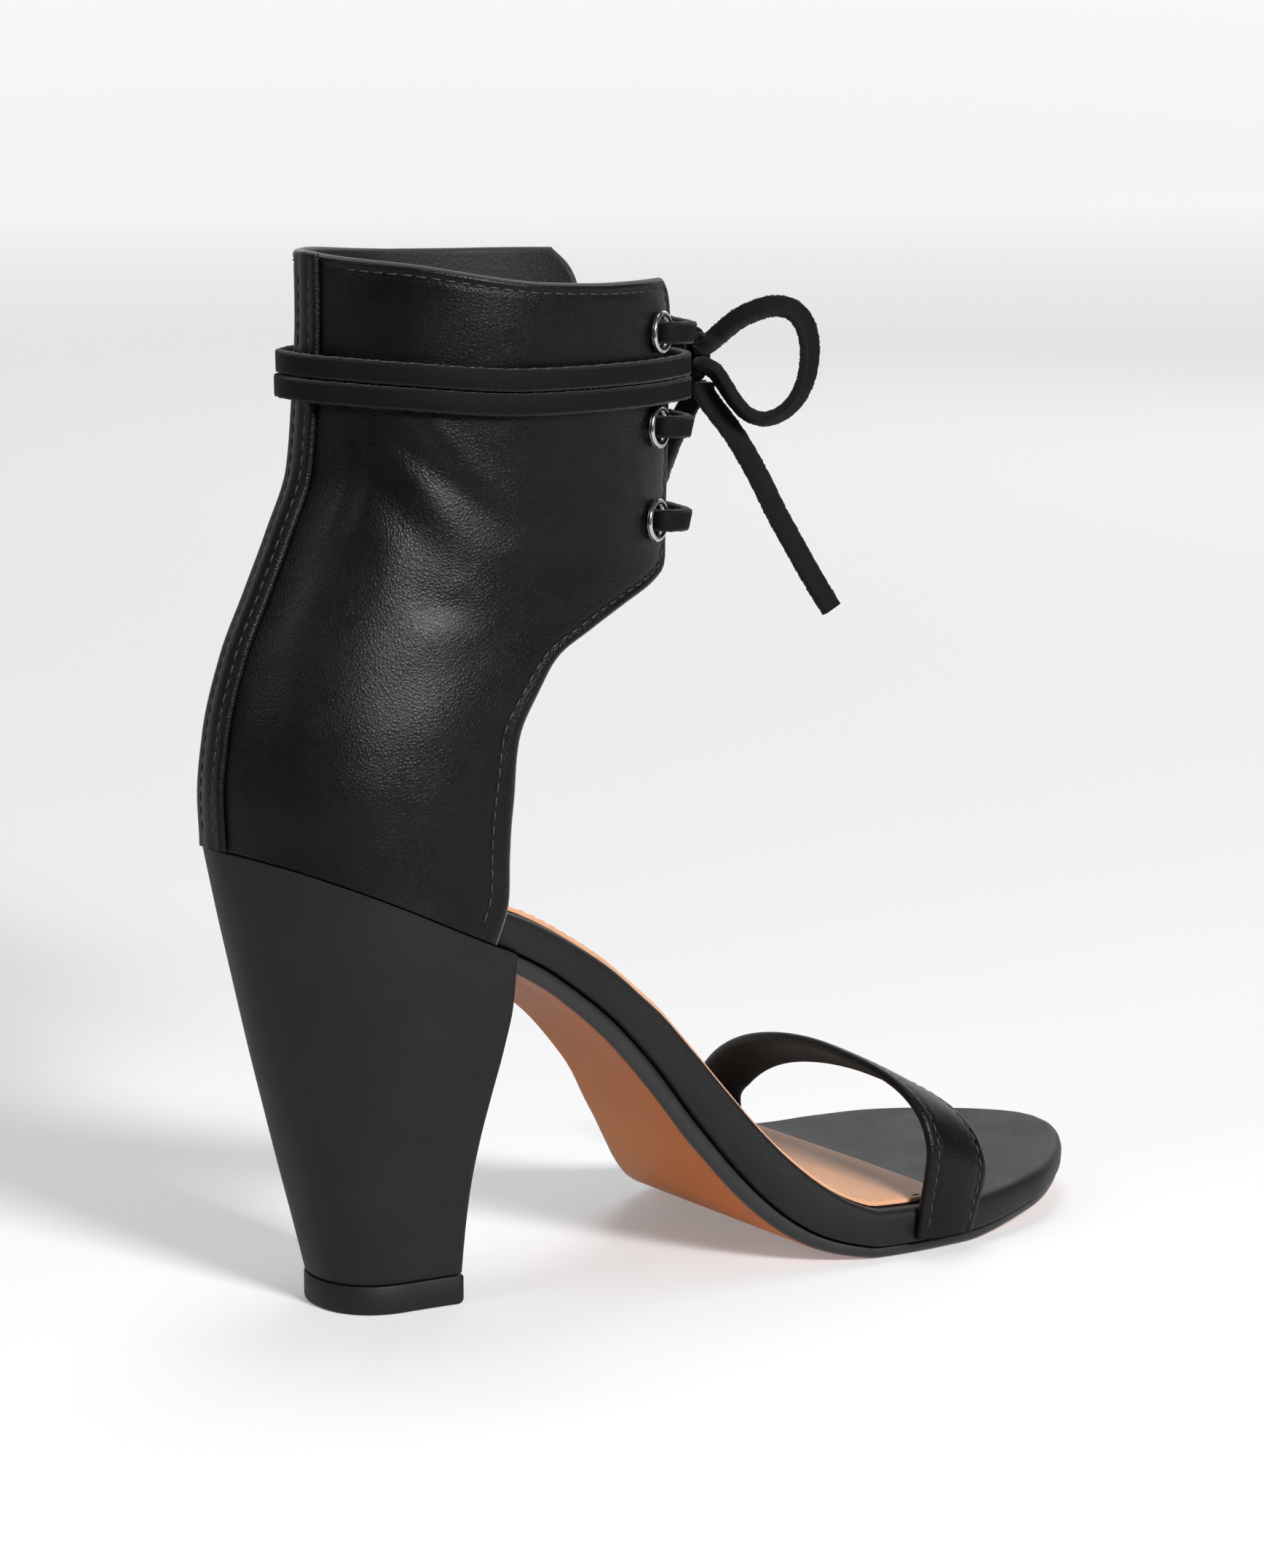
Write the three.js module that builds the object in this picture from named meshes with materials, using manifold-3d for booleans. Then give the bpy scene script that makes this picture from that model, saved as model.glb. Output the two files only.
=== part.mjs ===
// A right-foot lace-up high-heeled sandal: leather ankle cuff with a closed heel, one toe strap,
// a leather-wrapped footbed on a thin outsole, a tapered covered heel, and a flat lace wound twice
// round the ankle. Millimetres, +Z up, +X towards the toe, +Y towards the inner (medial) side.
// The origin is the middle of the heel tip's bottom face, on the floor.

import * as THREE from 'three';
import { mergeVertices } from 'three/addons/utils/BufferGeometryUtils.js';
import Module from 'manifold-3d';

const wasm = await Module();
wasm.setup();

// Main sizes
const SOLE_LENGTH = 214;        // reference line behind the heel to the toe tip, in plan
const BALL_WIDTH = 81;          // widest part of the footbed
const SEAT_HEIGHT = 98;         // feather line above the floor at the heel's back
const SEAT_WIDTH = 61;          // across the quarters at the heel seat
const HEEL_SETBACK = 3.9;       // reference line to the heel's back at the seat
const SEAT_REACH = 42;          // reference line to the widest part of the seat
const TIP_SETBACK = 39;         // reference line to the middle of the heel tip
const TIP_LENGTH = 26;
const TIP_WIDTH = 29.5;
const TIP_HEIGHT = 6;
const BREAST_REACH = 57.5;      // reference line to the heel's breast at the top
const BED_THICK = 7.4;          // footbed at the ball
const SOLE_THICK = 2.9;         // outsole at the ball
const INSOLE_THICK = 0.8;
const INSOLE_REACH = 162;       // reference line to the insole's front edge
const TOE_ROUND = 28;           // length over which the toe is rounded in plan
const TOE_DRIFT = 3;            // toe tip towards the inner side
const UPPER_HEIGHT = 116;       // top edge above the feather line at the back
const CUFF_LENGTH = 86.5;       // scale of the cuff's oval along the foot
const CUFF_WIDTH = 60;          // across the cuff at the top
const WALL = 2.2;               // leather and lining
const STRIP_WIDTH = 8;          // back strip
const STRIP_THICK = 1.1;
const STRAP_THICK = 2.2;
const LACE_WIDTH = 4.4;
const LACE_THICK = 2.2;
const EYELET_RADIUS = 4.5;
const EYELET_BORE = 2.9;
const EYELET_LEVEL = 0.845;     // top pair above the seat, share of the upper's height
const EYELET_SPACING = 0.164;   // between pairs, share of the upper's height
const EYELET_FORWARD = 1.104;   // eyelets' line, share of the cuff's length
const GAP = 0.3;                // between curved pieces that touch

const EYELET_PITCH = UPPER_HEIGHT * EYELET_SPACING;
const EYELET_TOP = SEAT_HEIGHT + UPPER_HEIGHT * EYELET_LEVEL;
const EYELET_REACH = CUFF_LENGTH * EYELET_FORWARD;

// Shares of the sole's length; rise of the feather line above the flat as a share of the seat's
// height, thicknesses as shares of the ball's, measured straight up.
const PROFILE = [
  { at: 0.000, rise: 1.0082, bed: 0.81, sole: 1.45 },
  { at: 0.047, rise: 0.9773, bed: 0.82, sole: 1.45 },
  { at: 0.093, rise: 0.9361, bed: 0.84, sole: 1.45 },
  { at: 0.140, rise: 0.8887, bed: 0.86, sole: 1.45 },
  { at: 0.187, rise: 0.8382, bed: 0.90, sole: 1.45 },
  { at: 0.234, rise: 0.7887, bed: 0.97, sole: 1.45 },
  { at: 0.270, rise: 0.7527, bed: 1.05, sole: 1.52 },
  { at: 0.304, rise: 0.7104, bed: 1.11, sole: 1.62 },
  { at: 0.341, rise: 0.6517, bed: 1.22, sole: 1.75 },
  { at: 0.379, rise: 0.5816, bed: 1.36, sole: 2.00 },
  { at: 0.411, rise: 0.5064, bed: 1.50, sole: 2.20 },
  { at: 0.437, rise: 0.4353, bed: 1.70, sole: 2.30 },
  { at: 0.459, rise: 0.3652, bed: 1.84, sole: 2.25 },
  { at: 0.481, rise: 0.2993, bed: 1.91, sole: 2.10 },
  { at: 0.507, rise: 0.2240, bed: 1.92, sole: 1.95 },
  { at: 0.536, rise: 0.1488, bed: 1.85, sole: 1.72 },
  { at: 0.567, rise: 0.0849, bed: 1.70, sole: 1.45 },
  { at: 0.598, rise: 0.0406, bed: 1.48, sole: 1.22 },
  { at: 0.631, rise: 0.0138, bed: 1.20, sole: 1.08 },
  { at: 0.664, rise: 0.0000, bed: 1.04, sole: 1.00 },
  { at: 0.710, rise: 0.0000, bed: 1.00, sole: 1.00 },
  { at: 0.771, rise: 0.0000, bed: 0.93, sole: 1.00 },
  { at: 0.832, rise: 0.0120, bed: 0.84, sole: 0.96 },
  { at: 0.888, rise: 0.0260, bed: 0.76, sole: 0.93 },
  { at: 0.944, rise: 0.0410, bed: 0.69, sole: 0.90 },
  { at: 1.000, rise: 0.0570, bed: 0.62, sole: 0.86 },
];

// Edges of footbed and outsole before the ends are rounded, as shares of the ball's width.
const PLAN = [
  { at: 0.00, outer: 0.346, inner: 0.346, soleOuter: 0.320, soleInner: 0.320 },
  { at: 0.20, outer: 0.346, inner: 0.346, soleOuter: 0.320, soleInner: 0.320 },
  { at: 0.25, outer: 0.345, inner: 0.334, soleOuter: 0.320, soleInner: 0.290 },
  { at: 0.30, outer: 0.338, inner: 0.265, soleOuter: 0.318, soleInner: 0.215 },
  { at: 0.34, outer: 0.330, inner: 0.190, soleOuter: 0.311, soleInner: 0.135 },
  { at: 0.38, outer: 0.327, inner: 0.140, soleOuter: 0.309, soleInner: 0.088 },
  { at: 0.42, outer: 0.331, inner: 0.137, soleOuter: 0.313, soleInner: 0.095 },
  { at: 0.46, outer: 0.344, inner: 0.180, soleOuter: 0.326, soleInner: 0.148 },
  { at: 0.50, outer: 0.364, inner: 0.248, soleOuter: 0.346, soleInner: 0.222 },
  { at: 0.54, outer: 0.390, inner: 0.337, soleOuter: 0.372, soleInner: 0.316 },
  { at: 0.58, outer: 0.419, inner: 0.422, soleOuter: 0.401, soleInner: 0.405 },
  { at: 0.62, outer: 0.446, inner: 0.479, soleOuter: 0.428, soleInner: 0.463 },
  { at: 0.66, outer: 0.466, inner: 0.514, soleOuter: 0.448, soleInner: 0.498 },
  { at: 0.71, outer: 0.475, inner: 0.530, soleOuter: 0.457, soleInner: 0.514 },
  { at: 0.76, outer: 0.469, inner: 0.531, soleOuter: 0.452, soleInner: 0.514 },
  { at: 0.81, outer: 0.444, inner: 0.512, soleOuter: 0.427, soleInner: 0.495 },
  { at: 0.87, outer: 0.388, inner: 0.463, soleOuter: 0.371, soleInner: 0.446 },
  { at: 0.93, outer: 0.325, inner: 0.390, soleOuter: 0.309, soleInner: 0.374 },
  { at: 1.00, outer: 0.250, inner: 0.290, soleOuter: 0.236, soleInner: 0.276 },
];

// Ovals of the ankle cuff by height above the seat, as shares of the upper's height, the cuff's
// length and half the cuff's width: back (from the heel's back), widest place, virtual front and
// half width.
const OVALS = [
  { up: -0.22, back: 0.000, wide: 0.486, front: 1.56, half: 1.017 },
  { up: 0.00, back: 0.000, wide: 0.486, front: 1.56, half: 1.017 },
  { up: 0.08, back: -0.004, wide: 0.486, front: 1.55, half: 1.020 },
  { up: 0.19, back: 0.012, wide: 0.520, front: 1.50, half: 1.007 },
  { up: 0.32, back: 0.061, wide: 0.590, front: 1.36, half: 0.965 },
  { up: 0.42, back: 0.122, wide: 0.645, front: 1.27, half: 0.935 },
  { up: 0.52, back: 0.183, wide: 0.685, front: 1.25, half: 0.925 },
  { up: 0.63, back: 0.241, wide: 0.710, front: 1.25, half: 0.935 },
  { up: 0.75, back: 0.258, wide: 0.718, front: 1.25, half: 0.955 },
  { up: 0.88, back: 0.270, wide: 0.720, front: 1.252, half: 0.985 },
  { up: 1.02, back: 0.271, wide: 0.722, front: 1.254, half: 1.000 },
];

// The cuff's front edge from the feather line to the top, as shares of its length and height.
const FRONT_EDGE = [
  { reach: 0.592, up: -0.165 },
  { reach: 0.625, up: -0.114 },
  { reach: 0.631, up: -0.030 },
  { reach: 0.636, up: 0.026 },
  { reach: 0.644, up: 0.078 },
  { reach: 0.653, up: 0.147 },
  { reach: 0.669, up: 0.192 },
  { reach: 0.718, up: 0.250 },
  { reach: 0.780, up: 0.308 },
  { reach: 0.872, up: 0.344 },
  { reach: 0.990, up: 0.381 },
  { reach: 1.113, up: 0.412 },
  { reach: 1.156, up: 0.430 },
  { reach: 1.170, up: 0.474 },
  { reach: 1.178, up: 0.621 },
  { reach: 1.182, up: 0.750 },
  { reach: 1.180, up: 0.853 },
  { reach: 1.162, up: 0.905 },
  { reach: 1.127, up: 0.938 },
];

// Heel's back and breast by height, as shares of the seat height; the back runs from the tip's
// back towards the reference line, the breast from the tip's front to the breast's reach, and
// blend from the tip's section (0) to the seat's section (1).
const HEEL_LINE = [
  { up: 0.06, back: 0.600, breast: 0.910, blend: 0.00 },
  { up: 0.18, back: 0.540, breast: 0.912, blend: 0.10 },
  { up: 0.30, back: 0.475, breast: 0.918, blend: 0.21 },
  { up: 0.44, back: 0.399, breast: 0.935, blend: 0.36 },
  { up: 0.58, back: 0.321, breast: 0.960, blend: 0.53 },
  { up: 0.72, back: 0.245, breast: 0.985, blend: 0.71 },
  { up: 0.86, back: 0.166, breast: 1.000, blend: 0.88 },
  { up: 1.00, back: 0.090, breast: 1.000, blend: 1.00 },
];

// Outer face of the toe strap across the foot, for its rear and front edges: shares of the sole's
// length along, of the ball's width across and of the strap's height up. Where foot is 1 the strap
// lies against the footbed's side.
const STRAP_HEIGHT = BALL_WIDTH * 0.489;
const STRAP = [
  { foot: 1, rearX: 0.6916, rearY: -0.503, rearZ: 0.105, frontX: 0.7593, frontY: -0.503, frontZ: 0.100 },
  { foot: 1, rearX: 0.6963, rearY: -0.508, rearZ: 0.270, frontX: 0.7687, frontY: -0.506, frontZ: 0.240 },
  { foot: 0.6, rearX: 0.7009, rearY: -0.516, rearZ: 0.430, frontX: 0.7757, frontY: -0.508, frontZ: 0.360 },
  { foot: 0, rearX: 0.7033, rearY: -0.514, rearZ: 0.610, frontX: 0.7771, frontY: -0.494, frontZ: 0.490 },
  { foot: 0, rearX: 0.7033, rearY: -0.480, rearZ: 0.770, frontX: 0.7748, frontY: -0.456, frontZ: 0.620 },
  { foot: 0, rearX: 0.7019, rearY: -0.404, rearZ: 0.890, frontX: 0.7701, frontY: -0.383, frontZ: 0.715 },
  { foot: 0, rearX: 0.7009, rearY: -0.290, rearZ: 0.958, frontX: 0.7654, frontY: -0.272, frontZ: 0.775 },
  { foot: 0, rearX: 0.7009, rearY: -0.140, rearZ: 0.990, frontX: 0.7617, frontY: -0.130, frontZ: 0.808 },
  { foot: 0, rearX: 0.7009, rearY: 0.020, rearZ: 1.000, frontX: 0.7593, frontY: 0.020, frontZ: 0.818 },
  { foot: 0, rearX: 0.6986, rearY: 0.170, rearZ: 0.972, frontX: 0.7570, frontY: 0.165, frontZ: 0.795 },
  { foot: 0, rearX: 0.6972, rearY: 0.305, rearZ: 0.905, frontX: 0.7551, frontY: 0.295, frontZ: 0.740 },
  { foot: 0, rearX: 0.6963, rearY: 0.415, rearZ: 0.800, frontX: 0.7542, frontY: 0.405, frontZ: 0.650 },
  { foot: 0, rearX: 0.6963, rearY: 0.500, rearZ: 0.660, frontX: 0.7542, frontY: 0.494, frontZ: 0.530 },
  { foot: 0.5, rearX: 0.6972, rearY: 0.553, rearZ: 0.490, frontX: 0.7561, frontY: 0.550, frontZ: 0.400 },
  { foot: 1, rearX: 0.6991, rearY: 0.565, rearZ: 0.300, frontX: 0.7589, frontY: 0.565, frontZ: 0.260 },
  { foot: 1, rearX: 0.7009, rearY: 0.562, rearZ: 0.105, frontX: 0.7617, frontY: 0.565, frontZ: 0.105 },
];

// Centre of the two turns of lace round the ankle, by share of the way from the outer front edge
// round the back to the inner front edge: heights as shares of the upper's height.
const TURNS = [
  { way: 0.00, upper: 0.782, lower: 0.7405 },
  { way: 0.20, upper: 0.788, lower: 0.7465 },
  { way: 0.35, upper: 0.804, lower: 0.7625 },
  { way: 0.50, upper: 0.812, lower: 0.7705 },
  { way: 0.65, upper: 0.804, lower: 0.7625 },
  { way: 0.80, upper: 0.788, lower: 0.7465 },
  { way: 1.00, upper: 0.782, lower: 0.7405 },
];

// The bow: the front run of the turns as a share of the cuff's length, the knot's side and height
// as shares of the cuff's width and the upper's height, and the knot's half sizes.
const KNOT = { reach: 1.268, side: -0.10, up: 0.789, deep: 3.0, wide: 5.0, tall: 5.6 };

// Loops and ends from the knot: distance out along their own direction and height, in lace widths.
const LOOP = [
  { out: 0.65, up: 0.84 },
  { out: 1.09, up: 1.22 },
  { out: 1.70, up: 1.70 },
  { out: 2.48, up: 2.08 },
  { out: 3.35, up: 2.30 },
  { out: 4.17, up: 2.15 },
  { out: 4.74, up: 1.55 },
  { out: 5.00, up: 0.65 },
  { out: 5.00, up: -0.25 },
  { out: 4.83, up: -1.15 },
  { out: 4.39, up: -2.05 },
  { out: 3.70, up: -2.70 },
  { out: 2.91, up: -2.95 },
  { out: 2.13, up: -2.70 },
  { out: 1.48, up: -2.00 },
  { out: 1.00, up: -1.25 },
  { out: 0.61, up: -0.72 },
];
const TAIL = [
  { out: 0.18, up: -2.10 },
  { out: 0.62, up: -2.70 },
  { out: 1.48, up: -3.86 },
  { out: 2.46, up: -5.55 },
  { out: 3.42, up: -7.48 },
  { out: 4.40, up: -9.27 },
  { out: 5.36, up: -10.95 },
  { out: 6.00, up: -12.00 },
];
const NEAR_WAY = { x: 0.80, y: -0.60 };
const FAR_WAY = { x: 0.12, y: 0.993 };
const FAR_END_WAY = { x: -0.10, y: 0.995 };

const blackLeather = { color: 0x17171a, roughness: 0.45, metalness: 0.0 };
const heelLeather = { color: 0x222224, roughness: 0.62, metalness: 0.0 };
const tanSole = { color: 0xb0713f, roughness: 0.5, metalness: 0.0 };
const tanSock = { color: 0xc79a76, roughness: 0.6, metalness: 0.0 };
const blackRubber = { color: 0x1b1b1c, roughness: 0.7, metalness: 0.0 };
const nickel = { color: 0xc8c9cc, roughness: 0.25, metalness: 1.0 };
const laceLeather = { color: 0x1d1c1d, roughness: 0.85, metalness: 0.0 };

// Smooth monotone curve through one column of a table.
function along(rows, key, column, at) {
  const n = rows.length;
  if (at <= rows[0][key]) return rows[0][column];
  if (at >= rows[n - 1][key]) return rows[n - 1][column];
  let i = 0;
  while (rows[i + 1][key] < at) i += 1;
  const width = (j) => rows[j + 1][key] - rows[j][key];
  const slope = (j) => (rows[j + 1][column] - rows[j][column]) / width(j);
  const tangent = (j) => {
    if (j === 0) return slope(0);
    if (j === n - 1) return slope(n - 2);
    const a = slope(j - 1);
    const b = slope(j);
    if (a * b <= 0) return 0;
    const wa = 2 * width(j) + width(j - 1);
    const wb = width(j) + 2 * width(j - 1);
    return (wa + wb) / (wa / a + wb / b);
  };
  const h = width(i);
  const t = (at - rows[i][key]) / h;
  const y0 = rows[i][column];
  const y1 = rows[i + 1][column];
  return y0 * (1 + 2 * t) * (1 - t) ** 2 + h * tangent(i) * t * (1 - t) ** 2
    + y1 * t * t * (3 - 2 * t) + h * tangent(i + 1) * t * t * (t - 1);
}

// Heights of the sole, with x counted from the reference line behind the heel.
const feather = (x) => SOLE_THICK
  + (SEAT_HEIGHT - SOLE_THICK) * along(PROFILE, 'at', 'rise', x / SOLE_LENGTH);
const bedThick = (x) => BED_THICK * along(PROFILE, 'at', 'bed', x / SOLE_LENGTH);
const soleThick = (x) => SOLE_THICK * along(PROFILE, 'at', 'sole', x / SOLE_LENGTH);
const steepness = (x) => Math.hypot(1, (feather(x + 0.5) - feather(x - 0.5)));
const bedTop = (x) => feather(x) + bedThick(x);
const soleBottom = (x) => Math.max(0, feather(x) - soleThick(x));

// How wide a rounded end still is at a distance from its tip, between 0 and 1.
function roundEnd(distance, length, power) {
  if (distance >= length) return 1;
  if (distance <= 0) return 0;
  return (1 - (1 - distance / length) ** power) ** (1 / power);
}

function edge(x, column, from, to, heelRound, toeRound, heelPower, toePower) {
  const across = BALL_WIDTH * along(PLAN, 'at', column, x / SOLE_LENGTH);
  const heelEnd = roundEnd(x - from, heelRound, heelPower);
  const toeEnd = roundEnd(to - x, toeRound, toePower);
  return across * heelEnd * toeEnd;
}

function geometry(points, faces) {
  const g = new THREE.BufferGeometry();
  g.setAttribute('position', new THREE.Float32BufferAttribute(points.flat(), 3));
  g.setIndex(faces.flat());
  const merged = mergeVertices(g, 1e-4);
  const index = merged.getIndex().array;
  const kept = [];
  for (let i = 0; i < index.length; i += 3) {
    const [a, b, c] = [index[i], index[i + 1], index[i + 2]];
    if (a !== b && b !== c && c !== a) kept.push(a, b, c);
  }
  merged.setIndex(kept);
  return merged;
}

// A slab with a curved outline and curved faces: stations run from heel to toe, each with an
// outer edge, an inner edge and a middle. rims lists how far in and how far down each ring lies.
function slab({ from, to, count, outer, inner, drift, top, bottom, topRims, bottomRims, crown }) {
  const stations = [];
  for (let i = 0; i <= count; i += 1) {
    const t = i / count;
    const eased = 0.55 * t + 0.45 * (1 - Math.cos(Math.PI * t)) / 2;
    stations.push(from + (to - from) * eased);
  }
  const outline = [];
  stations.forEach((x, i) => {
    outline.push({ x, y: -outer(x) + drift(x), station: i });
  });
  for (let i = count - 1; i > 0; i -= 1) {
    outline.push({ x: stations[i], y: inner(stations[i]) + drift(stations[i]), station: i });
  }
  const n = outline.length;
  const normals = outline.map((p, i) => {
    const a = outline[(i + n - 1) % n];
    const b = outline[(i + 1) % n];
    const length = Math.hypot(b.x - a.x, b.y - a.y);
    return { x: -(b.y - a.y) / length, y: (b.x - a.x) / length };
  });
  const points = [];
  const faces = [];
  const ring = (inset, height) => {
    const start = points.length;
    outline.forEach((p, i) => {
      const x = p.x + normals[i].x * inset;
      const y = p.y + normals[i].y * inset;
      points.push([x, y, height(x, y)]);
    });
    return start;
  };
  const band = (lower, upper) => {
    for (let i = 0; i < n; i += 1) {
      const j = (i + 1) % n;
      faces.push([lower + i, lower + j, upper + j], [lower + i, upper + j, upper + i]);
    }
  };
  const cap = (start, height, up) => {
    const middle = stations.map((x, i) => {
      if (i === 0 || i === count) return start + (i === 0 ? 0 : count);
      const a = points[start + i];
      const b = points[start + n - i];
      const mx = (a[0] + b[0]) / 2;
      const my = (a[1] + b[1]) / 2;
      points.push([mx, my, height(mx, my) + (up ? crown(mx) : 0)]);
      return points.length - 1;
    });
    const add = (a, b, c) => faces.push(up ? [a, b, c] : [a, c, b]);
    for (let i = 0; i < count; i += 1) {
      const outerA = start + i;
      const outerB = start + i + 1;
      const innerA = start + ((n - i) % n);
      const innerB = start + (n - i - 1);
      add(outerA, outerB, middle[i + 1]);
      add(outerA, middle[i + 1], middle[i]);
      add(innerB, innerA, middle[i]);
      add(innerB, middle[i], middle[i + 1]);
    }
  };
  const levels = [];
  bottomRims.slice().reverse().forEach(({ inset, rise }) => {
    levels.push(ring(inset, (x) => bottom(x) + rise));
  });
  topRims.forEach(({ inset, drop }) => {
    levels.push(ring(inset, (x) => top(x) - drop));
  });
  for (let i = 0; i + 1 < levels.length; i += 1) band(levels[i], levels[i + 1]);
  cap(levels[levels.length - 1], top, true);
  cap(levels[0], bottom, false);
  return geometry(points, faces);
}

const flat = () => 0;
const drift = (x) => TOE_DRIFT * (1 - roundEnd(SOLE_LENGTH - x, TOE_ROUND, 2));

// Footbed: the leather-wrapped board that carries the foot, inside the quarters at the heel.
const bedFrom = HEEL_SETBACK + WALL + GAP;
const BED_POWER = 1.82;
const bedEdge = (column) => (x) => edge(
  x, column, bedFrom, SOLE_LENGTH, SEAT_REACH - bedFrom, TOE_ROUND, BED_POWER, 2,
);
const footbedGeometry = slab({
  from: bedFrom,
  to: SOLE_LENGTH,
  count: 42,
  outer: bedEdge('outer'),
  inner: bedEdge('inner'),
  drift,
  top: bedTop,
  bottom: feather,
  topRims: [{ inset: 0, drop: 1.9 }, { inset: 0.6, drop: 0.6 }, { inset: 2.0, drop: 0 }],
  bottomRims: [{ inset: 0, rise: 0.8 }, { inset: 0.9, rise: 0 }],
  crown: flat,
});

// Outsole: from just behind the breast to the toe, bevelled at its lower edge.
const soleFrom = SOLE_LENGTH * 0.249;
const soleTo = SOLE_LENGTH - 0.8;
const soleTop = (x) => feather(x) - GAP * steepness(x);
const soleEdge = (column) => (x) => edge(x, column, soleFrom, soleTo, 3, TOE_ROUND - 0.8, 5, 2);
const outsoleGeometry = slab({
  from: soleFrom,
  to: soleTo,
  count: 38,
  outer: soleEdge('soleOuter'),
  inner: soleEdge('soleInner'),
  drift,
  top: soleTop,
  bottom: soleBottom,
  topRims: [{ inset: 0, drop: 0.5 }, { inset: 0.4, drop: 0 }],
  bottomRims: [{ inset: 0, rise: 1.1 }, { inset: 1.5, rise: 0 }],
  crown: flat,
});

// Insole: the thin tan sock from the heel seat to behind the toes.
const insoleInset = 4.0;
const insoleFrom = bedFrom + insoleInset;
const insoleEdge = (column) => (x) => {
  const bed = bedEdge(column)(x);
  return Math.max(0, Math.min(bed - insoleInset, (bed - insoleInset)
    * roundEnd(x - insoleFrom, SEAT_REACH - insoleFrom, BED_POWER)
    * roundEnd(INSOLE_REACH - x, 4, 6)
    / Math.max(roundEnd(x - bedFrom, SEAT_REACH - bedFrom, BED_POWER), 0.2)));
};
const insoleGeometry = slab({
  from: insoleFrom,
  to: INSOLE_REACH,
  count: 34,
  outer: insoleEdge('outer'),
  inner: insoleEdge('inner'),
  drift: flat,
  top: (x) => bedTop(x) + (GAP + INSOLE_THICK) * steepness(x),
  bottom: (x) => bedTop(x) + GAP * steepness(x),
  topRims: [{ inset: 0, drop: 0.4 }, { inset: 0.5, drop: 0 }],
  bottomRims: [{ inset: 0, rise: 0 }],
  crown: flat,
});

// The cuff's plan oval at a height, grown outwards by some amount; turn is 0 at the back, a
// quarter at the widest place and a half at the virtual front.
function oval(z, turn, grow = 0) {
  const up = (z - SEAT_HEIGHT) / UPPER_HEIGHT;
  const back = HEEL_SETBACK + CUFF_LENGTH * along(OVALS, 'up', 'back', up);
  const wide = CUFF_LENGTH * along(OVALS, 'up', 'wide', up);
  const front = CUFF_LENGTH * along(OVALS, 'up', 'front', up);
  const half = (CUFF_WIDTH / 2) * along(OVALS, 'up', 'half', up);
  const angle = 2 * Math.PI * Math.abs(turn);
  const c = Math.cos(angle);
  const s = Math.max(0, Math.sin(angle));
  const power = c >= 0 ? 2 / 1.85 : 2 / 2.2;
  const reach = c >= 0 ? wide - back + grow : front - wide + grow;
  return {
    x: wide - Math.sign(c) * reach * Math.abs(c) ** power,
    y: Math.sign(turn) * (half + grow) * s ** power,
  };
}

const edgeCurve = new THREE.CatmullRomCurve3(
  FRONT_EDGE.map(({ reach, up }, i) => {
    const x = reach * CUFF_LENGTH;
    return new THREE.Vector3(x, 0, i === 0 ? feather(x) : SEAT_HEIGHT + up * UPPER_HEIGHT);
  }),
  false, 'centripetal',
);

// Turn at which the oval of a height reaches a given x.
function turnAt(z, x) {
  let low = 0.02;
  let high = 0.5;
  for (let i = 0; i < 40; i += 1) {
    const middle = (low + high) / 2;
    if (oval(z, middle).x < x) low = middle;
    else high = middle;
  }
  return (low + high) / 2;
}

// How far the top edge has dropped towards the front; the inner side drops less.
const INNER_DROP = 0.5;
const TOP_DROP = [
  { way: 0.0, drop: 0.00 },
  { way: 0.3, drop: 0.22 },
  { way: 0.6, drop: 0.75 },
  { way: 0.8, drop: 0.96 },
  { way: 1.0, drop: 1.00 },
];

// A point of the upper's outer face: side -1 is the outer front edge, 0 the back, 1 the inner
// front edge; rise runs from the feather line to the top edge.
const edgeFoot = edgeCurve.getPointAt(0);
const edgeHead = edgeCurve.getPointAt(1);
const footTurn = turnAt(edgeFoot.z, edgeFoot.x);
function hemHeight(way) {
  let z = feather(0);
  for (let i = 0; i < 6; i += 1) z = feather(oval(z, way * footTurn).x);
  return z;
}
function upperPoint(side, rise) {
  const way = Math.abs(side);
  const front = edgeCurve.getPointAt(Math.min(1, Math.max(0, rise)));
  const turn = way * turnAt(front.z, front.x);
  const low = hemHeight(way);
  const top = SEAT_HEIGHT + UPPER_HEIGHT;
  const drop = along(TOP_DROP, 'way', 'drop', way) * (side > 0 ? INNER_DROP : 1);
  const high = top + (edgeHead.z - top) * drop;
  const frontShare = (front.z - edgeFoot.z) / (edgeHead.z - edgeFoot.z);
  const share = rise + (frontShare - rise) * way ** 1.6;
  const z = low + (high - low) * share;
  const place = oval(z, turn * (side < 0 ? -1 : 1));
  return new THREE.Vector3(place.x, way < 1e-6 ? 0 : place.y, z);
}

function upperNormal(side, rise) {
  const ds = 0.004;
  const s0 = Math.max(-1, side - ds);
  const s1 = Math.min(1, side + ds);
  const r0 = Math.max(0, rise - ds);
  const r1 = Math.min(1, rise + ds);
  const a = upperPoint(s1, rise).sub(upperPoint(s0, rise));
  const b = upperPoint(side, r1).sub(upperPoint(side, r0));
  const normal = b.cross(a).normalize();
  if (Math.abs(side) < 1e-6) normal.setY(0).normalize();
  return normal;
}

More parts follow.
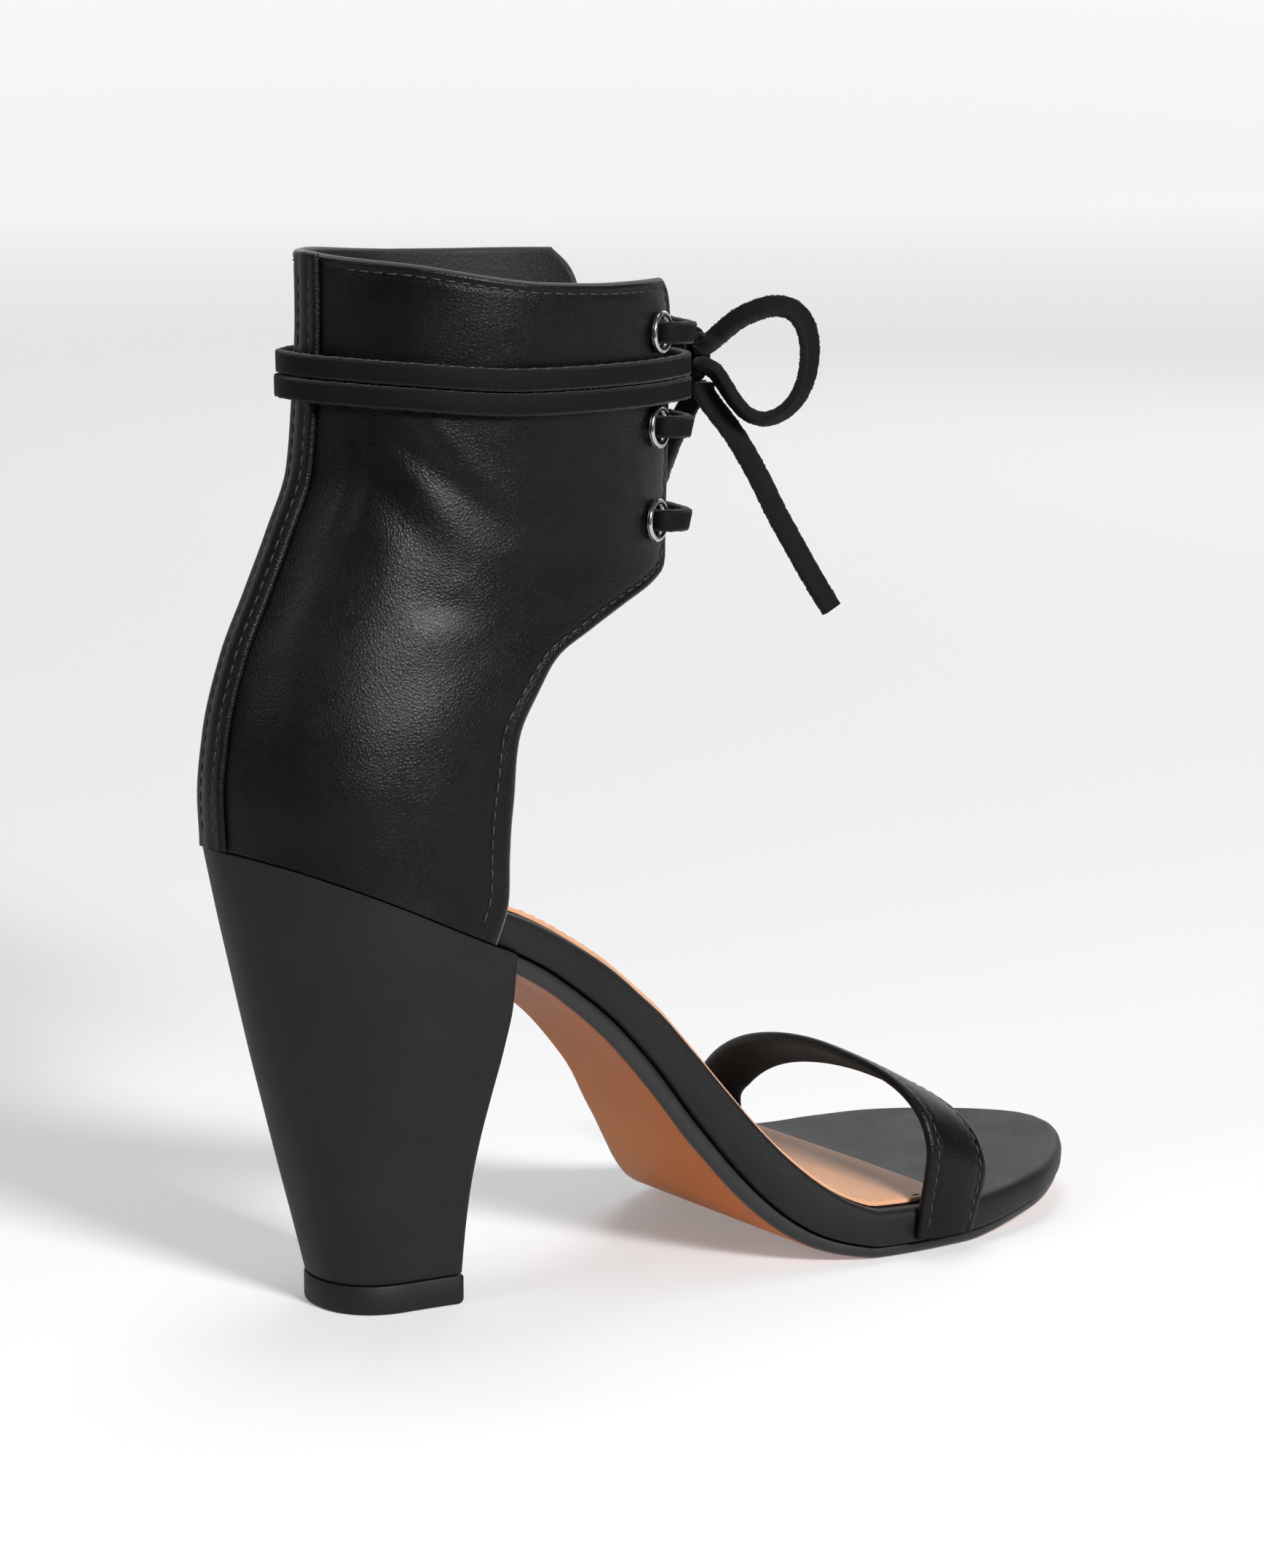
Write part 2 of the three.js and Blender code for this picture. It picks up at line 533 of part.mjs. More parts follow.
// A shell between two offsets of the upper's outer face.
function shell({ sides, rises, outerBy, innerBy }) {
  const points = [];
  const faces = [];
  const across = sides.length;
  const up = rises.length;
  [outerBy, innerBy].forEach((offset) => {
    rises.forEach((rise) => {
      sides.forEach((side) => {
        const normal = upperNormal(side, rise);
        const flatness = Math.hypot(normal.x, normal.y);
        const level = rise < 0.02 ? new THREE.Vector3(normal.x / flatness, normal.y / flatness, 0) : normal;
        const p = upperPoint(side, rise).addScaledVector(level, offset(side, rise));
        points.push([p.x, p.y, p.z]);
      });
    });
  });
  const at = (layer, row, column) => layer * across * up + row * across + column;
  const quad = (a, b, c, d) => faces.push([a, b, c], [a, c, d]);
  for (let r = 0; r + 1 < up; r += 1) {
    for (let c = 0; c + 1 < across; c += 1) {
      quad(at(0, r, c), at(0, r + 1, c), at(0, r + 1, c + 1), at(0, r, c + 1));
      quad(at(1, r, c), at(1, r, c + 1), at(1, r + 1, c + 1), at(1, r + 1, c));
    }
    quad(at(0, r, 0), at(1, r, 0), at(1, r + 1, 0), at(0, r + 1, 0));
    const e = across - 1;
    quad(at(0, r, e), at(0, r + 1, e), at(1, r + 1, e), at(1, r, e));
  }
  for (let c = 0; c + 1 < across; c += 1) {
    quad(at(0, 0, c), at(0, 0, c + 1), at(1, 0, c + 1), at(1, 0, c));
    const e = up - 1;
    quad(at(0, e, c), at(1, e, c), at(1, e, c + 1), at(0, e, c + 1));
  }
  return geometry(points, faces);
}

function solid(g) {
  const plain = new THREE.BufferGeometry();
  plain.setAttribute('position', g.getAttribute('position').clone());
  if (g.getIndex()) plain.setIndex(g.getIndex().clone());
  const merged = mergeVertices(plain, 1e-4);
  const mesh = new wasm.Mesh({
    numProp: 3,
    vertProperties: new Float32Array(merged.getAttribute('position').array),
    triVerts: new Uint32Array(merged.getIndex().array),
  });
  return new wasm.Manifold(mesh);
}

function fromSolid(body) {
  const mesh = body.getMesh();
  const g = new THREE.BufferGeometry();
  g.setAttribute('position', new THREE.Float32BufferAttribute(mesh.vertProperties, 3));
  g.setIndex(Array.from(mesh.triVerts));
  return g;
}

const spread = (from, to, count) => Array.from(
  { length: count + 1 }, (_, i) => from + ((to - from) * i) / count,
);

// Eyelets: three a side, on the cuff's outer face.
const eyeletSpots = [];
[-1, 1].forEach((hand) => {
  [0, 1, 2].forEach((step) => {
    const z = EYELET_TOP - step * EYELET_PITCH;
    const turn = turnAt(z, EYELET_REACH) * hand;
    const p = oval(z, turn);
    const a = oval(z, turn - 0.004);
    const b = oval(z, turn + 0.004);
    const level = new THREE.Vector3(b.x - a.x, b.y - a.y, 0).normalize();
    const normal = new THREE.Vector3(level.y, -level.x, 0);
    if (normal.y * hand < 0) normal.negate();
    eyeletSpots.push({ hand, step, place: new THREE.Vector3(p.x, p.y, z), normal });
  });
});

function facing(g, spot) {
  g.rotateX(Math.PI / 2);
  const turnBy = new THREE.Quaternion().setFromUnitVectors(new THREE.Vector3(0, 0, 1), spot.normal);
  const square = new THREE.Matrix4().makeRotationFromQuaternion(turnBy);
  g.applyMatrix4(square);
  g.translate(spot.place.x, spot.place.y, spot.place.z);
  return g;
}

const cuffSides = spread(-1, 1, 24);
const cuffRises = spread(0, 1, 18);
let cuffBody = solid(shell({
  sides: cuffSides,
  rises: cuffRises,
  outerBy: () => 0,
  innerBy: () => -WALL,
}));
eyeletSpots.forEach((spot) => {
  const hole = facing(new THREE.CylinderGeometry(EYELET_BORE + 0.75, EYELET_BORE + 0.75, 14, 10), spot);
  cuffBody = cuffBody.subtract(solid(hole));
});

const stripHalf = (rise) => (STRIP_WIDTH / 2) * (1.06 - 0.12 * rise);
function stripSide(rise, share) {
  let low = 0;
  let high = 0.5;
  for (let i = 0; i < 30; i += 1) {
    const middle = (low + high) / 2;
    if (upperPoint(middle, rise).y < stripHalf(rise) * 1.06) low = middle;
    else high = middle;
  }
  return share * low;
}
function stripShell() {
  const rises = spread(0, 1, 18);
  const shares = [-1, -0.8, 0, 0.8, 1];
  const points = [];
  const faces = [];
  const across = shares.length;
  const up = rises.length;
  [1, 0].forEach((layer) => {
    rises.forEach((rise) => {
      shares.forEach((share) => {
        const side = stripSide(rise, share);
        const normal = upperNormal(side, rise);
        const flatness = Math.hypot(normal.x, normal.y);
        if (rise < 0.02) normal.set(normal.x / flatness, normal.y / flatness, 0);
        const rounded = Math.abs(share) > 0.99 ? 0.55 : 1;
        const p = upperPoint(side, rise).addScaledVector(normal, GAP + layer * STRIP_THICK * rounded);
        points.push([p.x, p.y, p.z]);
      });
    });
  });
  const at = (layer, row, column) => layer * across * up + row * across + column;
  const quad = (a, b, c, d) => faces.push([a, b, c], [a, c, d]);
  for (let r = 0; r + 1 < up; r += 1) {
    for (let c = 0; c + 1 < across; c += 1) {
      quad(at(0, r, c), at(0, r + 1, c), at(0, r + 1, c + 1), at(0, r, c + 1));
      quad(at(1, r, c), at(1, r, c + 1), at(1, r + 1, c + 1), at(1, r + 1, c));
    }
    const e = across - 1;
    quad(at(0, r, 0), at(1, r, 0), at(1, r + 1, 0), at(0, r + 1, 0));
    quad(at(0, r, e), at(0, r + 1, e), at(1, r + 1, e), at(1, r, e));
  }
  for (let c = 0; c + 1 < across; c += 1) {
    const e = up - 1;
    quad(at(0, 0, c), at(0, 0, c + 1), at(1, 0, c + 1), at(1, 0, c));
    quad(at(0, e, c), at(1, e, c), at(1, e, c + 1), at(0, e, c + 1));
  }
  return geometry(points, faces);
}

// Heel sections: a rounded back, nearly straight sides and a flat breast with round corners.
function heelOutline(back, middle, breast, halfBack, halfFront, corner, roundness, count = 9) {
  const outline = [];
  const add = (x, y) => outline.push([x, y]);
  for (let i = 0; i <= count; i += 1) {
    const angle = (Math.PI / 2) * (i / count);
    const c = Math.cos(angle) ** (2 / roundness);
    const s = Math.sin(angle) ** (2 / roundness);
    add(middle - (middle - back) * c, halfBack * s);
  }
  const slope = (halfFront - halfBack) / (breast - middle);
  add(middle + (breast - corner - middle) * 0.5, halfBack + slope * (breast - corner - middle) * 0.5);
  for (let i = 0; i <= 4; i += 1) {
    const angle = (Math.PI / 2) * (i / 4);
    add(breast - corner + corner * Math.sin(angle), halfFront - corner + corner * Math.cos(angle));
  }
  add(breast, (halfFront - corner) * 0.5);
  const mirrored = outline.slice(1).reverse().map(([x, y]) => [x, -y]);
  return [...outline, [breast, 0], ...mirrored];
}

function heelSection(up, grow = 0) {
  const blend = along(HEEL_LINE, 'up', 'blend', up);
  const backShare = along(HEEL_LINE, 'up', 'back', up);
  const backTip = TIP_SETBACK - TIP_LENGTH / 2;
  const back = backTip * (backShare / HEEL_LINE[0].back) - grow;
  const breastTip = TIP_SETBACK + TIP_LENGTH / 2;
  const breastShare = along(HEEL_LINE, 'up', 'breast', up);
  const first = HEEL_LINE[0].breast;
  const breast = breastTip + (BREAST_REACH - breastTip) * ((breastShare - first) / (1 - first)) + grow;
  const mix = (a, b) => a + (b - a) * blend;
  return heelOutline(
    back, mix(back + (breast - back) * 0.55, SEAT_REACH), breast,
    mix(TIP_WIDTH / 2 - 0.9, SEAT_WIDTH / 2) + grow,
    mix(TIP_WIDTH / 2, SEAT_WIDTH / 2 - 0.2) + grow,
    mix(1.4, 4.2), mix(2.3, 1.8),
  );
}

// Lofts closed outlines of equal length, each given as [x, y, z] points, and caps both ends
// across pairs of opposite points.
function loft(rings) {
  const points = rings.flat();
  const n = rings[0].length;
  const faces = [];
  for (let r = 0; r + 1 < rings.length; r += 1) {
    for (let i = 0; i < n; i += 1) {
      const j = (i + 1) % n;
      const a = r * n;
      const b = (r + 1) * n;
      faces.push([a + i, b + i, b + j], [a + i, b + j, a + j]);
    }
  }
  const cap = (start, up) => {
    const half = n / 2;
    for (let i = 0; i < half; i += 1) {
      const a = start + i;
      const b = start + i + 1;
      const c = start + ((n - i) % n);
      const d = start + (n - i - 1);
      if (up) faces.push([a, c, d], [a, d, b]);
      else faces.push([a, d, c], [a, b, d]);
    }
  };
  cap(0, false);
  cap((rings.length - 1) * n, true);
  return geometry(points, faces);
}

// The heel follows the footbed's underside and is recessed for the outsole's rear end.
const heelLevels = [0, 0.11, 0.24, 0.38, 0.53, 0.68, 0.82, 0.92, 1.0];
const heelTall = heelLevels.map((share) => {
  const up = (TIP_HEIGHT + GAP) / SEAT_HEIGHT + share * (1.0 - (TIP_HEIGHT + GAP) / SEAT_HEIGHT);
  return heelSection(up).map(([x, y]) => {
    const seat = feather(x) - GAP * steepness(x);
    const z = TIP_HEIGHT + GAP + share * (seat - TIP_HEIGHT - GAP);
    return [x, y, z];
  });
});
const heelBody = solid(loft(heelTall));
const recessFrom = soleFrom - 0.6;
const recessTo = SOLE_LENGTH * 0.4;
const recessEdge = (column) => (x) => (BALL_WIDTH * along(PLAN, 'at', column, x / SOLE_LENGTH) + 0.6)
  * roundEnd(x - recessFrom, 3.2, 5) * roundEnd(recessTo - x, 0.8, 6);
const recess = slab({
  from: recessFrom,
  to: recessTo,
  count: 26,
  outer: recessEdge('soleOuter'),
  inner: recessEdge('soleInner'),
  drift: flat,
  top: (x) => feather(x) + 12,
  bottom: (x) => feather(x) - soleThick(x) - (GAP * 2) * steepness(x),
  topRims: [{ inset: 0, drop: 0 }],
  bottomRims: [{ inset: 0, rise: 0 }],
  crown: flat,
});

const tipRings = [
  heelSection(0.06, 0.1).map(([x, y]) => [x, y, 0]),
  heelSection(0.06, 0.3).map(([x, y]) => [x, y, 0.7]),
  heelSection(0.06, 0.3).map(([x, y]) => [x, y, TIP_HEIGHT]),
];

// Toe strap: a grid across the foot and along the strap's width, with rounded folded edges.
function strapPoint(t, share) {
  const rows = STRAP.length - 1;
  const spot = Math.min(rows - 1e-9, Math.max(0, t * rows));
  const i = Math.floor(spot);
  const f = spot - i;
  const row = (j) => STRAP[Math.min(rows, Math.max(0, j))];
  const blend = (key) => {
    const [a, b, c, d] = [row(i - 1)[key], row(i)[key], row(i + 1)[key], row(i + 2)[key]];
    return 0.5 * ((2 * b) + (c - a) * f + (2 * a - 5 * b + 4 * c - d) * f * f
      + (3 * b - a - 3 * c + d) * f * f * f);
  };
  const foot = Math.min(1, Math.max(0, blend('foot')));
  const corner = (xKey, yKey, zKey) => {
    const x = blend(xKey) * SOLE_LENGTH;
    const free = blend(yKey) * BALL_WIDTH;
    const side = Math.sign(t - 0.5);
    const bed = bedEdge(side < 0 ? 'outer' : 'inner')(x);
    const held = side * (bed + GAP + STRAP_THICK + 0.25);
    return new THREE.Vector3(x, free + (held - free) * foot, blend(zKey) * STRAP_HEIGHT);
  };
  return corner('rearX', 'rearY', 'rearZ').lerp(corner('frontX', 'frontY', 'frontZ'), share);
}
function strapNormal(t, share) {
  const d = 0.01;
  const a = strapPoint(Math.min(1, t + d), share).sub(strapPoint(Math.max(0, t - d), share));
  const b = strapPoint(t, 1).sub(strapPoint(t, 0));
  return b.cross(a).normalize();
}
function strapGeometry() {
  const ts = spread(0, 1, 26);
  const section = [
    { share: 0.00, depth: 0.55 }, { share: 0.04, depth: 0.10 }, { share: 0.11, depth: 0 },
    { share: 0.35, depth: -0.25 }, { share: 0.65, depth: -0.25 },
    { share: 0.89, depth: 0 }, { share: 0.96, depth: 0.10 }, { share: 1.00, depth: 0.55 },
    { share: 1.00, depth: 1.65 }, { share: 0.96, depth: 2.2 }, { share: 0.5, depth: 2.0 },
    { share: 0.04, depth: 2.2 }, { share: 0.00, depth: 1.65 },
  ];
  const points = [];
  const faces = [];
  ts.forEach((t) => {
    section.forEach(({ share, depth }) => {
      const p = strapPoint(t, share);
      p.addScaledVector(strapNormal(t, share), -depth * (STRAP_THICK / 2.2));
      points.push([p.x, p.y, p.z]);
    });
  });
  const n = section.length;
  for (let r = 0; r + 1 < ts.length; r += 1) {
    for (let i = 0; i < n; i += 1) {
      const j = (i + 1) % n;
      faces.push([r * n + i, r * n + j, (r + 1) * n + j], [r * n + i, (r + 1) * n + j, (r + 1) * n + i]);
    }
  }
  const contour = section.map(({ share, depth }) => new THREE.Vector2(share * 16, -depth));
  const caps = THREE.ShapeUtils.triangulateShape(contour, []);
  const last = (ts.length - 1) * n;
  caps.forEach(([a, b, c]) => {
    faces.push([a, b, c], [last + a, last + c, last + b]);
  });
  return geometry(points, faces);
}

// A flat thong swept along a path: width runs along a given direction at each step.
function thong({ path, widthAt, width = LACE_WIDTH, thick = LACE_THICK }) {
  const w = width / 2;
  const h = thick / 2;
  const section = [
    [w - 0.5, -h], [w, -h + 0.5], [w, h - 0.5], [w - 0.5, h],
    [-w + 0.5, h], [-w, h - 0.5], [-w, -h + 0.5], [-w + 0.5, -h],
  ];
  const points = [];
  const faces = [];
  const n = section.length;
  path.forEach((p, i) => {
    const a = path[Math.max(0, i - 1)];
    const b = path[Math.min(path.length - 1, i + 1)];
    const tangent = b.clone().sub(a).normalize();
    const across = widthAt(i / (path.length - 1), tangent).clone();
    across.addScaledVector(tangent, -across.dot(tangent)).normalize();
    const up = tangent.clone().cross(across).normalize();
    section.forEach(([s, t]) => {
      const q = p.clone().addScaledVector(across, s).addScaledVector(up, t);
      points.push([q.x, q.y, q.z]);
    });
  });
  for (let r = 0; r + 1 < path.length; r += 1) {
    for (let i = 0; i < n; i += 1) {
      const j = (i + 1) % n;
      faces.push([r * n + i, r * n + j, (r + 1) * n + j], [r * n + i, (r + 1) * n + j, (r + 1) * n + i]);
    }
  }
  const last = (path.length - 1) * n;
  for (let i = 1; i + 1 < n; i += 1) {
    faces.push([0, i + 1, i], [last, last + i, last + i + 1]);
  }
  return geometry(points, faces);
}

const vertical = new THREE.Vector3(0, 0, 1);

// Bars across the open front at each pair of eyelets, entering the holes and joined inside by
// a strand down each side.
function barPath(step) {
  const near = eyeletSpots.find((s) => s.hand < 0 && s.step === step);
  const reach = CUFF_LENGTH * 1.168;
  const inside = near.place.clone().addScaledVector(near.normal, -WALL - 3.2);
  const outside = near.place.clone().addScaledVector(near.normal, 2.6);
  const bend = new THREE.Vector3(reach + 2.0, near.place.y - 0.2, near.place.z - 0.4);
  const front = new THREE.Vector3(reach + 4.8, near.place.y * 0.55, near.place.z - 0.4);
  const flip = (p) => new THREE.Vector3(p.x, -p.y, p.z);
  const stops = [inside, near.place.clone(), outside, bend, front,
    new THREE.Vector3(reach + 5.8, 0, near.place.z - 0.4),
    flip(front), flip(bend), flip(outside), flip(near.place), flip(inside)];
  return new THREE.CatmullRomCurve3(stops, false, 'centripetal').getSpacedPoints(18);
}
let crossings = null;
[0, 1, 2].forEach((step) => {
  const bar = solid(thong({ path: barPath(step), widthAt: () => vertical }));
  crossings = crossings ? crossings.add(bar) : bar;
});
[-1, 1].forEach((hand) => {
  const spots = eyeletSpots.filter((s) => s.hand === hand);
  const path = [0, 1, 2, 3, 4].map((i) => {
    const z = EYELET_TOP - (i / 4) * 2 * EYELET_PITCH;
    const turn = turnAt(z, EYELET_REACH) * hand;
    const p = oval(z, turn);
    const q = new THREE.Vector3(p.x, p.y, z);
    const stretch = i === 0 ? 1.6 : (i === 4 ? -1.6 : 0);
    return q.addScaledVector(spots[1].normal, -WALL - 2.6).add(new THREE.Vector3(0, 0, stretch));
  });
  const level = new THREE.Vector3(-spots[2].normal.y, spots[2].normal.x, 0);
  crossings = crossings.add(solid(thong({ path, widthAt: () => level })));
});

// Two turns round the ankle, under the top pair of eyelets, meeting at the knot.
function turnPath(column) {
  const stops = [];
  const steps = 30;
  for (let i = 0; i <= steps; i += 1) {
    const way = i / steps;
    const z = SEAT_HEIGHT + UPPER_HEIGHT * along(TURNS, 'way', column, way);
    const lastTurn = turnAt(z, CUFF_LENGTH * 1.12);
    const turn = (2 * way - 1) * lastTurn;
    const p = oval(z, turn);
    const a = oval(z, turn - 0.004);
    const b = oval(z, turn + 0.004);
    const normal = new THREE.Vector3(b.y - a.y, a.x - b.x, 0).normalize();
    if (Math.abs(turn) < 0.004) normal.set(-1, 0, 0);
    const outwards = new THREE.Vector3(p.x - CUFF_LENGTH * 0.72, p.y, 0);
    if (normal.dot(outwards) < 0) normal.negate();
    const clear = STRIP_WIDTH / 2 + 8 - Math.abs(p.y);
    const overStrip = THREE.MathUtils.smoothstep(clear, 0, 6) * (p.x < 60 ? 1 : 0);
    const stand = GAP + 0.35 + LACE_THICK / 2 + overStrip * (STRIP_THICK + GAP);
    stops.push(new THREE.Vector3(p.x, p.y, z).addScaledVector(normal, stand));
  }
  const frontRun = CUFF_LENGTH * KNOT.reach;
  const side = CUFF_WIDTH * KNOT.side;
  const zEnd = stops[0].z;
  const before = [
    new THREE.Vector3(frontRun, side - 0.4, zEnd),
    new THREE.Vector3(frontRun - 1.2, side - 5.5, zEnd),
    new THREE.Vector3(frontRun - 4.6, -0.285 * CUFF_WIDTH, zEnd),
  ];
  const after = [
    new THREE.Vector3(frontRun - 2.3, 0.29 * CUFF_WIDTH, zEnd),
    new THREE.Vector3(frontRun + 0.3, 8.5, zEnd),
    new THREE.Vector3(frontRun + 0.2, side + 5.5, zEnd),
    new THREE.Vector3(frontRun, side + 0.4, zEnd),
  ];
  const path = new THREE.CatmullRomCurve3([...before, ...stops, ...after], false, 'centripetal');
  return path.getSpacedPoints(40);
}

// Knot: a rounded block that stands on the turns' front run.
const knotAt = new THREE.Vector3(
  CUFF_LENGTH * KNOT.reach + LACE_THICK / 2 + GAP + KNOT.deep,
  CUFF_WIDTH * KNOT.side,
  SEAT_HEIGHT + UPPER_HEIGHT * KNOT.up,
);
function knotGeometry() {
  const block = new THREE.SphereGeometry(1, 12, 8);
  const position = block.getAttribute('position');
  const squarer = (v) => Math.sign(v) * Math.abs(v) ** 0.55;
  for (let i = 0; i < position.count; i += 1) {
    position.setXYZ(
      i,
      squarer(position.getX(i)) * KNOT.deep,
      squarer(position.getZ(i)) * KNOT.wide,
      -squarer(position.getY(i)) * KNOT.tall,
    );
  }
  return plainGeometry(block);
}

// Free cords leave the knot's side or underside square and swing into their own upright plane.
function cordPath(start, leaving, rows, way, arriving) {
  const point = ({ out, up }) => new THREE.Vector3(
    start.x + way.x * out * LACE_WIDTH, start.y + way.y * out * LACE_WIDTH, knotAt.z + up * LACE_WIDTH,
  );
  const points = [start, start.clone().addScaledVector(leaving, 1.6), ...rows.map(point)];
  if (arriving) {
    const last = start.clone().setZ(knotAt.z - 0.48 * LACE_WIDTH);
    points.push(last.clone().addScaledVector(leaving, 1.6), last);
  }
  return points;
}
function cordGeometry(points, steps) {
  const ring = new THREE.Shape();
  ring.absarc(0, 0, LACE_WIDTH * 0.42, 0, Math.PI * 2, false);
  const curve = new THREE.CatmullRomCurve3(points, false, 'centripetal');
  const g = new THREE.ExtrudeGeometry(ring, {
    steps, curveSegments: 4, extrudePath: curve, bevelEnabled: false,
  });
  return plainGeometry(g);
}

function plainGeometry(g) {
  g.deleteAttribute('normal');
  g.deleteAttribute('uv');
  return mergeVertices(g, 1e-4);
}

const shoe = new THREE.Group();
shoe.name = 'lace_up_heeled_sandal';

function addPiece(name, g, look, placed = new THREE.Vector3(0, 0, 0)) {
  const plain = new THREE.BufferGeometry();
  plain.setAttribute('position', g.getAttribute('position').clone());
  plain.setIndex(g.getIndex().clone());
  plain.computeVertexNormals();
  const mesh = new THREE.Mesh(plain, new THREE.MeshStandardMaterial(look));
  mesh.name = name;
  mesh.position.copy(placed);
  mesh.position.x -= TIP_SETBACK;
  shoe.add(mesh);
  return mesh;
}

addPiece('outsole', outsoleGeometry, tanSole);
addPiece('footbed', footbedGeometry, blackLeather);
addPiece('insole', insoleGeometry, tanSock);
addPiece('heel', fromSolid(heelBody.subtract(solid(recess))), heelLeather);
addPiece('heel_tip', loft(tipRings), blackRubber);
addPiece('ankle_cuff', fromSolid(cuffBody), blackLeather);
addPiece('back_strip', stripShell(), blackLeather);
addPiece('toe_strap', strapGeometry(), blackLeather);

// Eyelet: a barrel through the wall with a rolled flange outside and a flat one inside.
const eyeletProfile = [
  [EYELET_BORE, -WALL - 1.1], [EYELET_RADIUS - 0.5, -WALL - 1.1], [EYELET_RADIUS - 0.5, -WALL - 0.6],
  [EYELET_BORE + 0.4, -WALL - 0.6], [EYELET_BORE + 0.4, 0.7], [EYELET_RADIUS, 0.7],
  [EYELET_RADIUS - 0.7, 1.5], [EYELET_BORE + 0.1, 1.1],
];
eyeletSpots.forEach((spot) => {
  const profile = [...eyeletProfile, eyeletProfile[0]].map(([r, h]) => new THREE.Vector2(r, h));
  const g = facing(plainGeometry(new THREE.LatheGeometry(profile, 12)), spot);
  const side = spot.hand < 0 ? 'outer' : 'inner';
  addPiece(`eyelet_${side}_${spot.step + 1}`, geometryOf(g), nickel);
});

function geometryOf(g) {
  const position = g.getAttribute('position');
  const points = [];
  for (let i = 0; i < position.count; i += 1) {
    points.push([position.getX(i), position.getY(i), position.getZ(i)]);
  }
  const index = Array.from(g.getIndex().array);
  const faces = [];
  for (let i = 0; i < index.length; i += 3) faces.push(index.slice(i, i + 3));
  return geometry(points, faces);
}

addPiece('lace_crossings', fromSolid(crossings), laceLeather);
addPiece('lace_turn_upper', thong({ path: turnPath('upper'), widthAt: () => vertical }), laceLeather);
addPiece('lace_turn_lower', thong({ path: turnPath('lower'), widthAt: () => vertical }), laceLeather);

addPiece('lace_knot', geometryOf(knotGeometry()), laceLeather, knotAt);

// Each side of the bow: a loop from the knot's side and an end from its underside.
[
  { name: 'outer', hand: -1, way: NEAR_WAY, endWay: NEAR_WAY, endReach: 1.7 },
  { name: 'inner', hand: 1, way: FAR_WAY, endWay: FAR_END_WAY, endReach: 2.7 },
].forEach(({ name, hand, way, endWay, endReach }) => {
  const aside = new THREE.Vector3(0, hand, 0);
  const down = new THREE.Vector3(0, 0, -1);
  const loopStart = knotAt.clone().add(new THREE.Vector3(-1.0, hand * (KNOT.wide + GAP), 0.52 * LACE_WIDTH));
  const endStart = knotAt.clone().add(new THREE.Vector3(endReach, hand * 2.2, -KNOT.tall - GAP));
  const loop = cordPath(loopStart, aside, LOOP, way, true);
  const end = cordPath(endStart, down, TAIL, endWay, false);
  addPiece(`lace_loop_${name}`, cordGeometry(loop, 26), laceLeather);
  addPiece(`lace_end_${name}`, cordGeometry(end, 12), laceLeather);
});

export default shoe;
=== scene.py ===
"""Dressed model of a right-foot lace-up high-heeled sandal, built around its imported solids.

Sizes are in millimetres in the shoe's own frame, counted from a line just behind the heel's back, and
turn to metres in the row frame only where a mesh is made.
"""

import logging
import math
from dataclasses import dataclass
from enum import Enum
from typing import Callable, Sequence

import bpy
import numpy as np
from mathutils import Matrix, Vector


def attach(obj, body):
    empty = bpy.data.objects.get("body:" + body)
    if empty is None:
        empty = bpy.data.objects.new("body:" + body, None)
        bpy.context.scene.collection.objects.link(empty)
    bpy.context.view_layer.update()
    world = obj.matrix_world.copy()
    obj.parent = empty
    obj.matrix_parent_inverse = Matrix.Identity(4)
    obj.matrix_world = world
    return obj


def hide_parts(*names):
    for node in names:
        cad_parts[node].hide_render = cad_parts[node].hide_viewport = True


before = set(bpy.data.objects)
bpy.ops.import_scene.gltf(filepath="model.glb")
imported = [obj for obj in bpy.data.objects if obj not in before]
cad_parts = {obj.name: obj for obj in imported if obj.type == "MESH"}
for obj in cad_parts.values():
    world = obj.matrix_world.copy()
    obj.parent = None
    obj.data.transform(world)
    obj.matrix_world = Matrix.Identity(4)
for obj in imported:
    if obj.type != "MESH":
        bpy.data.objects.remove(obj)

log = logging.getLogger("sandal")

Surface = Callable[[np.ndarray], np.ndarray]

SOLE_LENGTH = 214.0
BALL_WIDTH = 81.0
SEAT_HEIGHT = 98.0
SEAT_WIDTH = 61.0
HEEL_SETBACK = 3.9
SEAT_REACH = 42.0
TIP_SETBACK = 39.0
TIP_LENGTH = 26.0
TIP_WIDTH = 29.5
TIP_HEIGHT = 6.0
BREAST_REACH = 57.5
BED_THICK = 7.4
SOLE_THICK = 2.9
INSOLE_THICK = 0.8
INSOLE_REACH = 162.0
TOE_ROUND = 28.0
TOE_DRIFT = 3.0
UPPER_HEIGHT = 116.0
CUFF_LENGTH = 86.5
CUFF_WIDTH = 60.0
WALL = 2.2
STRIP_WIDTH = 8.0
STRIP_THICK = 1.1
STRAP_THICK = 2.2
STRAP_HEIGHT = BALL_WIDTH * 0.489
LACE_WIDTH = 4.4
LACE_THICK = 2.2
EYELET_RADIUS = 4.5
EYELET_BORE = 2.9
EYELET_PITCH = UPPER_HEIGHT * 0.164
EYELET_TOP = SEAT_HEIGHT + UPPER_HEIGHT * 0.845
EYELET_REACH = CUFF_LENGTH * 1.104
BAR_REACH = CUFF_LENGTH * 1.168
TURN_REACH = CUFF_LENGTH * 1.12
FRONT_RUN = CUFF_LENGTH * 1.268
KNOT_SIDE = CUFF_WIDTH * -0.10
GAP = 0.3
BED_FROM = HEEL_SETBACK + WALL + GAP
BED_POWER = 1.82
INSOLE_INSET = 4.0
SOLE_FROM = SOLE_LENGTH * 0.249
SOLE_END = SOLE_LENGTH - 0.8
SOLE_CORNER = 3.0
INSOLE_CORNER = 4.0
TIP_SHARE = 0.06
TIP_BACK = 0.600
TIP_BREAST = 0.910
QUARTER_WIDE = 92.0
QUARTER_HIGH = 128.0
STITCH_INSET = 2.5
